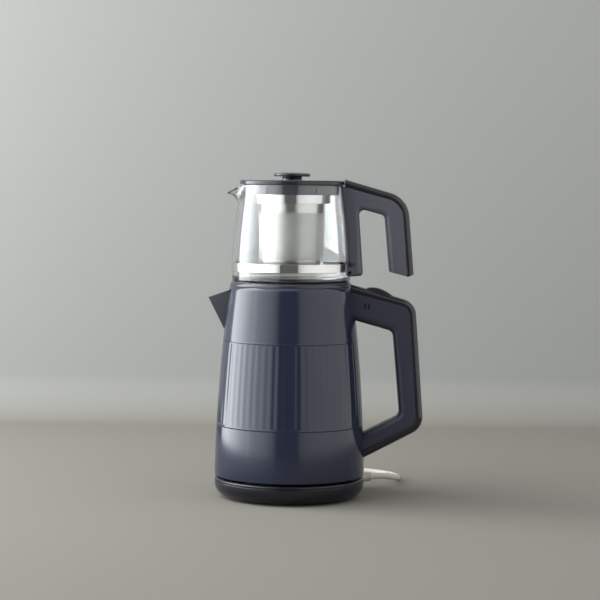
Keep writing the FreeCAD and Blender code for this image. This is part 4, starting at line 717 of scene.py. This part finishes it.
# The rocker's top is a low hump over the handle's line, proud * sin(pi t) ^ 0.85, a little high at the
# kettle's end, and its long edges are rounded.
def makeRocker():
    v = named(rockerValues)
    along = np.linspace(0, 1, 33)
    x = v.start + (v.end - v.start) * along
    line = v.rootHeight - v.slope * (x - v.rootX)
    top = (line + v.startProud * (1 - along) + v.endProud * along
           + v.proud * np.sin(math.pi * along) ** 0.85)
    section = handleSection(v.half, v.underRound, v.round, steps=4, hold=0.3)
    sweptHandle("switchRocker", np.stack([x, line - v.depth], -1), np.stack([x, top], -1), section,
                rockerGloss, "rocker", ["switch_rocker"])


makeRocker()

# glass teapot; lipHalf is in degrees
print("making teapot")
jugValues = dict(
    low=222.6, rim=322.5, radius=61.0, rimRadius=53.0, shoulder=247.5, bulge=0.8, wall=2.5, floor=225.6,
    foot=3.4, rimRound=0.9, spokes=360, lipReach=15.2, lipDrop=9.5, lipFrom=300.0, lipHalf=17.0,
    lipBell=1.6, lipFlare=1.9, lipFall=2.2)


# The jug's wall is upright to the shoulder and then an arc that leans in to the rim.
def jugRadius(height):
    v = named(jugValues)
    run, rise = v.radius - v.rimRadius, v.rim - v.shoulder
    share = np.clip((np.asarray(height, float) - v.shoulder) / rise, 0, 1)
    return v.radius - run * share + 4 * v.bulge * share * (1 - share)


def makeJug():
    v = named(jugValues)
    turn = np.linspace(0, math.pi / 2, 8)
    heights = np.concatenate([np.linspace(v.low + v.foot, v.shoulder, 8),
                              np.linspace(v.shoulder, v.rim - v.rimRound, 44)[1:]])
    outer = np.stack([jugRadius(heights), heights], -1)
    # outside and inside, a round foot leads from the floor out to the wall
    foot, innerFoot = [np.stack([side - v.foot + v.foot * np.sin(turn),
                                 low + v.foot - v.foot * np.cos(turn)], -1)
                       for side, low in ((v.radius, v.low), (v.radius - v.wall, v.floor))]
    half = v.wall / 2
    rimTurn = np.linspace(0, math.pi, 9)[1:-1]
    rimMiddle = jugRadius(v.rim - v.rimRound) - half
    rim = np.stack([rimMiddle + half * np.cos(rimTurn),
                    v.rim - v.rimRound + v.rimRound * np.sin(rimTurn)], -1)
    inner = np.stack([jugRadius(heights) - v.wall, heights], -1)[::-1]
    inner = inner[inner[:, 1] > v.floor + v.foot]
    profile = np.concatenate([[(0, v.low)], foot[:-1], outer, rim, inner, innerFoot[::-1],
                              [(0, v.floor)]])

    # the lip: near the spout side the wall flares out by a power of its height, in a bell across,
    # and the rim there falls towards the tip
    def lip(angle, radius, height):
        aside = (np.degrees(angle) - 180) / v.lipHalf
        bell, narrow = np.exp(-(aside ** 2) * v.lipBell), np.exp(-(aside ** 2) * 2 * v.lipBell)
        rise = np.clip((height - v.lipFrom) / (v.rim - v.lipFrom), 0, 1.05)
        width = bell * rise + narrow * (1 - rise)
        return (angle, radius + v.lipReach * width * rise ** v.lipFlare,
                height - v.lipDrop * bell * rise ** v.lipFall)

    turnedPiece("teapotGlass", profile, jugGlass, "teapot", ["teapot_glass"], v.spokes,
                ring=False, bend=lip)


makeJug()

bandValues = dict(inner=61.02, outer=61.7, low=234.0, high=242.5)


def makeBand():
    profile = roundedLine(bandCorners(**bandValues), [0.1, 0.25, 0.25, 0.1], steps=3, hold=0.12)
    turnedPiece("teapotBand", profile, polishedSteel, "teapot", ["teapot_band"], 240)


makeBand()

# (x, height) of the corners of four lines: the gap's edge, the cap's underside along the whole handle,
# the outer edge, and the cap's underside under the cap alone
teaHandleValues = dict(
    half=12.4, innerRound=(6.5, 4.8), outerRound=(0.9, 0.9), capHalf=12.5, capInnerRound=(0.8, 0.8),
    capRound=(4.4, 6.0), wallDepth=0.5,
    gap=[(66.5, 229.2), (74.0, 230.0), (68.8, 298.9), (95.6, 291.8), (100.9, 235.2)],
    under=[(57.5, 229.2), (57.5, 238.0), (50.5, 321.7), (112.9, 305.3), (119.2, 230.7)],
    gapRadii=(6.5, 5.0, 5.0), underRadii=(0.3, 0.3, 20.2), runs=(3, 20, 14, 18),
    cap=[(54.7, 328.45), (119.2, 310.1), (126.0, 232.5)],
    capUnder=[(54.7, 320.6), (112.9, 305.3), (119.2, 229.9)], capRadii=(27.0,), capUnderRadii=(20.2,),
    capRuns=(16, 16), bends=8)


def jugWall(height):
    return jugRadius(height) - teaHandleValues["wallDepth"]


def makeTeapotHandle():
    v = named(teaHandleValues)
    inner = edgeLine(v.gap, v.gapRadii, v.runs, v.bends)
    under = edgeLine(v.under, v.underRadii, v.runs, v.bends)
    sweptHandle("teapotHandleShell", inner, under, handleSection(v.half, v.innerRound, v.outerRound),
                teaHandleSatin, "teapot", ["teapot_handle_shell"],
                lambda points: meetWall(points, jugWall), endRound=(0, 1.0))
    sweptHandle("teapotHandleCap", edgeLine(v.capUnder, v.capUnderRadii, v.capRuns),
                edgeLine(v.cap, v.capRadii, v.capRuns),
                handleSection(v.capHalf, v.capInnerRound, v.capRound), spineGloss, "teapot",
                ["teapot_handle_spine"], endRound=(0.6, 0.9))


makeTeapotHandle()

print("making lid and strainer")
lidValues = dict(under=324.5, edgeLow=322.65, top=327.0, radius=53.9, rimWidth=3.5, bevel=1.0)
knobValues = dict(stem=10.6, stemTop=9.9, radius=18.8, low=331.0, edge=333.4, dome=1.9)


# A flat disc with a rim that hangs over the jug's edge.
def makeLid():
    v = named(lidValues)
    corners = [(0, v.under), (v.radius - v.rimWidth, v.under), (v.radius - v.rimWidth, v.edgeLow),
               (v.radius, v.edgeLow), (v.radius, v.top - v.bevel), (v.radius - v.bevel, v.top),
               (0, v.top)]
    profile = roundedLine(corners, [0, 0.4, 0.3, 0.4, 0.5, 0.5, 0], closed=False, steps=4, hold=0.3)
    turnedPiece("lidDisc", profile, lidGloss, "lid", ["lid_disc"], 200, ring=False)


# A short stem under a flat knob, whose dome is a quarter ellipse.
def makeKnob():
    v = named(knobValues)
    dome = [(v.radius * math.cos(turn), v.edge + v.dome * math.sin(turn))
            for turn in np.linspace(0.08, math.pi / 2, 10)]
    corners = [(0, lidValues["top"]), (v.stem, lidValues["top"]), (v.stemTop, v.low),
               (v.radius - 0.6, v.low), (v.radius, v.low + 1.0)] + dome
    radii = [0, 0.1, 0.5, 0.4, 0.6, 0.4] + [0] * (len(dome) - 1)
    profile = roundedLine(corners, radii, closed=False, steps=4, hold=0.3)
    profile[-1, 0] = 0
    turnedPiece("lidKnob", profile, lidGloss, "lid", ["lid_knob"], 160, ring=False)


makeLid()
makeKnob()

# strainer: a sieve wall of round-cornered cells, plain bands above and below it, and a sieve floor
sieveValues = dict(
    topRadius=34.5, bottomRadius=33.0, meanRadius=33.7, top=303.6, bottom=241.7, sheet=0.5,
    holesTop=295.5, holesBottom=245.0, around=92, holeShare=0.60, floorRadius=31.0, topOverlap=2,
    lowOverlap=0.6)


# Six-sided cells on a flat sheet, each with a six-sided hole: every cell is six quads between its rim
# and its hole. Odd rows are moved by half a cell.
def sieveCells(columns, rows, width, holeShare):
    height = width * math.sqrt(3) / 2
    column, row = np.meshgrid(np.arange(columns), np.arange(rows), indexing="ij")
    centres = np.stack([(column + 0.5 * (row % 2)) * width, row * height], -1).reshape(-1, 2)
    turn = np.radians(30 + 60 * np.arange(6))
    rim = np.stack([np.cos(turn), np.sin(turn)], -1) * width / math.sqrt(3)
    points = np.concatenate([centres[:, None] + rim, centres[:, None] + rim * holeShare], axis=1)
    corner = np.arange(6)
    following = (corner + 1) % 6
    cell = np.stack([corner, following, following + 6, corner + 6], -1)
    quads = (np.arange(len(centres))[:, None, None] * 12 + cell).reshape(-1, 4)
    return points, quads, centres


def sieveRadius(height):
    v = named(sieveValues)
    share = (height - v.bottom) / (v.top - v.bottom)
    return v.bottomRadius + (v.topRadius - v.bottomRadius) * share


def sieveWidth():
    return 2 * math.pi * sieveValues["meanRadius"] / sieveValues["around"]


# The cells are rolled round the axis, x = r cos a and y = r sin a, where r grows evenly with height.
def makeSieve():
    v = named(sieveValues)
    width = sieveWidth()
    rows = int((v.holesTop - v.holesBottom) / (width * math.sqrt(3) / 2))
    points, quads = sieveCells(v.around, rows, width, v.holeShare)[:2]
    turn = points[..., 0] / v.meanRadius
    height = v.holesBottom + points[..., 1]
    radius = sieveRadius(height) - 0.1
    wall = np.stack([radius * np.cos(turn), radius * np.sin(turn), height], -1)
    makePiece("strainerSieve", wall, quads, sieveSteel, "strainer", (), v.sheet)


def makeSieveBand(name, corners, nodes=()):
    profile = roundedLine(corners, 0.15, steps=2, hold=0.2)
    turnedPiece(name, profile, sieveSteel, "strainer", nodes)


# Plain bands close the sieve above and below.
def makeSieveBands():
    v = named(sieveValues)
    topLow, lowHigh, lowInner = v.holesTop - v.topOverlap, v.holesBottom + v.lowOverlap, v.sheet + 0.2
    makeSieveBand("strainerTopBand", [
        (sieveRadius(topLow), topLow), (v.topRadius, v.top), (v.topRadius - v.sheet - 0.3, v.top),
        (sieveRadius(topLow) - v.sheet - 0.3, topLow)], ["strainer_basket"])
    makeSieveBand("strainerLowBand", [
        (v.bottomRadius, v.bottom - 0.5), (v.bottomRadius + 0.1, lowHigh),
        (v.bottomRadius - lowInner, lowHigh), (v.bottomRadius - lowInner, v.bottom - 0.5)])


# The floor keeps the cells whose middles lie within its radius, and its rim is folded over the low band.
def makeSieveFloor():
    v = named(sieveValues)
    size = int(2 * v.floorRadius / sieveWidth()) + 4
    points, quads, centres = sieveCells(size, int(size / 0.866), sieveWidth(), v.holeShare)
    middle = centres.mean(axis=0)
    kept = np.linalg.norm(centres - middle, axis=1) < v.floorRadius
    used, quads = np.unique(quads.reshape(-1, 6, 4)[kept], return_inverse=True)
    flat = (points - middle).reshape(-1, 2)[used]
    floor = np.c_[flat, np.full(len(flat), v.bottom - 0.05)]
    makePiece("strainerFloor", floor, quads.reshape(-1, 4), sieveSteel, "strainer", ["strainer_floor"],
              v.sheet)
    makeSieveBand("strainerFloorRim", bandCorners(
        v.floorRadius - 0.9, v.bottomRadius - 0.1, v.bottom - 0.6, v.bottom))


makeSieve()
makeSieveBands()
makeSieveFloor()

# finishes of the CAD nodes that keep their own shape, and of the ones that the lead stands for
print("dressing CAD nodes")
nodeFinishes = [
    (underSatin, "base_bottom_plate base_socket kettle_bottom_cover"),
    (footRubber, "base_feet"),
    (stampedBrass, "base_contacts plug_pins bimetal_discs coupler_pins"),
    (screwSteel, "base_screws kettle_bottom_screws kettle_handle_screws rocker_pin"),
    (screwSteel, "teapot_band_screw lid_knob_screw"),
    (wirePvc, "base_wires handle_wires"),
    (cordPvc, "cord_lead cord_tail cord_coil"),
    (sealSilicone, "vessel_seal"),
    (spoutSatin, "kettle_spout"),
    (brushedSteel, "spout_filter heating_element"),
    (pressedAluminium, "heater_plate"),
    (switchPolyamide, "kettle_coupler switch_body"),
    (lensSmoked, "indicator_lenses"),
    (boardEpoxy, "indicator_board"),
    (lampEpoxy, "indicator_leds"),
    (polishedSteel, "teapot_rim_clip strainer_neck"),
    (skirtSatin, "lid_skirt")]
for nodeFinish, nodeNames in nodeFinishes:
    for keptNode in nodeNames.split():
        dressNode(keptNode, nodeFinish)

# floor, wall and light: lengths of the sheet are in mm, places of its shading in metres
print("making floor, wall and light")
# glassLight, dimAt and dimHalf set the painted glow that glass shows of the wall and its painted dim band
stageValues = dict(
    floor="#7c7972", wall="#939390", wallBehind=640, cove=60, half=4000, front=-5000, wallHigh=4000,
    roughness=0.9, specular=0.1, wallFrom=0.05, mirrorFrom=0.66, mirrorTo=0.72, paleFrom=1.0, paleTo=1.35,
    beyond="#a6a6a0", glassLight=(0.05, 0.42), dimAt=-0.095, dimHalf=0.14, world=0.16)


# Floor and wall as one sheet: floor, a quarter circle, wall. Its back side is see-through.
def makeBackdrop():
    v = named(stageValues)
    turn = np.linspace(0, math.pi / 2, 9)
    ys = np.concatenate([[v.front, 0], v.wallBehind - v.cove + v.cove * np.sin(turn), [v.wallBehind]])
    zs = np.concatenate([[0, 0], v.cove * (1 - np.cos(turn)), [v.wallHigh]])
    line = np.stack([np.zeros(len(ys)), ys, zs], -1)
    points = toFrame(np.stack([line - (v.half, 0, 0), line + (v.half, 0, 0)], 1)).reshape(-1, 3)
    mesh = bpy.data.meshes.new("backdrop")
    mesh.from_pydata(points.tolist(), [], gridQuads(len(ys), 2).tolist())
    mesh.polygons.foreach_set("use_smooth", np.ones(len(mesh.polygons), bool))
    backdrop = newObject("backdrop", mesh)
    finish = bpy.data.materials.new("paintedBackdrop")
    tree = emptyTree(finish)
    place = addNode(tree, "NewGeometry")
    split = addNode(tree, "SeparateXYZ", {"Vector": place.outputs["Position"]})
    upWall = rangeNode(tree, split.outputs["Z"], 0, v.wallFrom)
    colour = addNode(tree, "Mix", {0: upWall, 6: hexColour(v.floor), 7: hexColour(v.wall)},
                     data_type="RGBA")
    paint = addNode(tree, "BsdfPrincipled", {
        "Base Color": colour.outputs[2], "Roughness": v.roughness, "Specular IOR Level": v.specular})
    ray = addNode(tree, "LightPath").outputs
    # painted light: rays through the glass see the wall glow as a white emission, not lit paint, with
    # painted shade where the glow is dimmest, where the window's reflection lies over it
    apart = mathNode(tree, "ABSOLUTE", mathNode(tree, "SUBTRACT", split.outputs["X"], v.dimAt))
    glow = rangeNode(tree, apart, 0, v.dimHalf, *v.glassLight)
    bright = addNode(tree, "Emission", {"Color": (1, 1, 1, 1), "Strength": glow})
    paintedGlowThroughGlass = mathNode(tree, "MULTIPLY", ray["Is Transmission Ray"], upWall)
    lit = addNode(tree, "MixShader", {0: paintedGlowThroughGlass, 1: paint, 2: bright})
    # a little way off, floor and wall run out into the same pale grey as what lies beyond them
    away = addNode(tree, "VectorMath", {0: place.outputs["Position"]}, operation="LENGTH").outputs["Value"]
    fading = rangeNode(tree, away, v.paleFrom, v.paleTo, smooth=True)
    seenPale = mathNode(tree, "MULTIPLY", fading, ray["Is Camera Ray"])
    pale = addNode(tree, "Emission", {"Color": hexColour(v.beyond), "Strength": 1.0})
    shown = addNode(tree, "MixShader", {0: seenPale, 1: lit, 2: pale})
    # in reflections the floor ends a little way off, as a table does, and the panels show below it
    farFloor = rangeNode(tree, away, v.mirrorFrom, v.mirrorTo)
    mirrored = mathNode(tree, "MULTIPLY", ray["Is Glossy Ray"], farFloor)
    unseen = mathNode(tree, "MULTIPLY", mirrored, mathNode(tree, "SUBTRACT", 1.0, upWall))
    hidden = mathNode(tree, "MAXIMUM", place.outputs["Backfacing"], unseen)
    sided = addNode(tree, "MixShader", {0: hidden, 1: shown, 2: addNode(tree, "BsdfTransparent")})
    addNode(tree, "OutputMaterial", {"Surface": sided})
    mesh.materials.append(finish)


makeBackdrop()

# Each lamp is a soft panel: its direction round the object and its tilt in degrees, how far off and how
# far up its middle lies and how wide and high it is in mm, and how bright its face is at even steps from
# its left edge to its right one, where 1 is paper white. A dark gap stays between the two front panels.
lampValues = dict(
    leftWindow=dict(
        around=-97, distance=1200, wide=1500, cool=0.06, across=(3.0, 5.5, 7.6, 8.0, 7.8, 6.2, 4.8, 3.9)),
    leftFront=dict(
        around=-43.5, distance=1500, wide=1243, cool=0.06, across=(4.2, 3.5, 3.0, 2.6, 2.2, 1.7, 1.2, 0.5)),
    rightFront=dict(
        around=38.3, distance=1500, wide=1418, cool=0.03, across=(0.4, 0.8, 1.0, 1.1, 1.15, 1.2, 1.2, 1.2)),
    rightSide=dict(
        around=95, distance=1300, wide=1600, cool=0.03, across=(1.2, 1.2, 1.15, 1.1, 1.0, 0.95, 0.9, 0.5)),
    overhead=dict(
        around=0, distance=300, wide=2400, cool=0.03, across=(3.0, 1.3, 0.7, 0.6), up=1666, high=1700,
        tilt=86))
lampWatts = 3.2  # power for one square metre of a face that is paper white
lowerEdge, upperEdge = 0.05, 0.10  # shares of a panel's height over which it fades out


def makeLamp(name, around, distance, wide, cool, across, up=830, high=2560, tilt=0):
    turn = math.radians(around)
    lamp = bpy.data.lights.new(name, "AREA")
    lamp.shape = "RECTANGLE"
    lamp.size, lamp.size_y = wide / 1000, high / 1000
    strongest = max(across)
    lamp.energy = lampWatts * strongest * lamp.size * lamp.size_y
    lamp.color = (1 - cool, 1 - cool / 3, 1)
    tree = emptyTree(lamp)
    place = addNode(tree, "NewGeometry").outputs["Parametric"]
    split = addNode(tree, "SeparateXYZ", {"Vector": place}).outputs
    ramp = addNode(tree, "ValToRGB", {"Fac": split["X"]})
    stops = ramp.color_ramp.elements
    for step in range(1, len(across) - 1):
        stops.new(step / (len(across) - 1))
    for stop, bright in zip(stops, across):
        stop.color = (*[bright / strongest] * 3, 1)
    fadeIn = rangeNode(tree, split["Y"], 0, lowerEdge, smooth=True)
    fadeOut = rangeNode(tree, split["Y"], 1, 1 - upperEdge, smooth=True)
    upright = mathNode(tree, "MULTIPLY", fadeIn, fadeOut)
    glow = addNode(tree, "Emission", {"Color": ramp, "Strength": upright})
    addNode(tree, "OutputLight", {"Surface": glow})
    holder = newObject(name, lamp)
    holder.location = toFrame((distance * math.sin(turn), -distance * math.cos(turn), up))
    holder.rotation_euler = (math.pi / 2 - math.radians(tilt), 0, turn)
    holder.visible_camera = False


for lampName, lampSetting in lampValues.items():
    makeLamp(lampName, **lampSetting)


# The world lights evenly and weakly, and the camera sees it as the pale grey beyond the floor.
def lightWorld():
    world = bpy.data.worlds.new("room")
    bpy.context.scene.world = world
    tree = emptyTree(world)
    ray = addNode(tree, "LightPath").outputs
    room = addNode(tree, "Background", {"Color": (1, 1, 1, 1), "Strength": stageValues["world"]})
    seen = addNode(tree, "Background", {"Color": hexColour(stageValues["beyond"]), "Strength": 1.0})
    mixed = addNode(tree, "MixShader", {0: ray["Is Camera Ray"], 1: room, 2: seen})
    addNode(tree, "OutputWorld", {"Surface": mixed})


lightWorld()
bpy.context.scene.view_settings.view_transform = "Standard"

print("finishing")
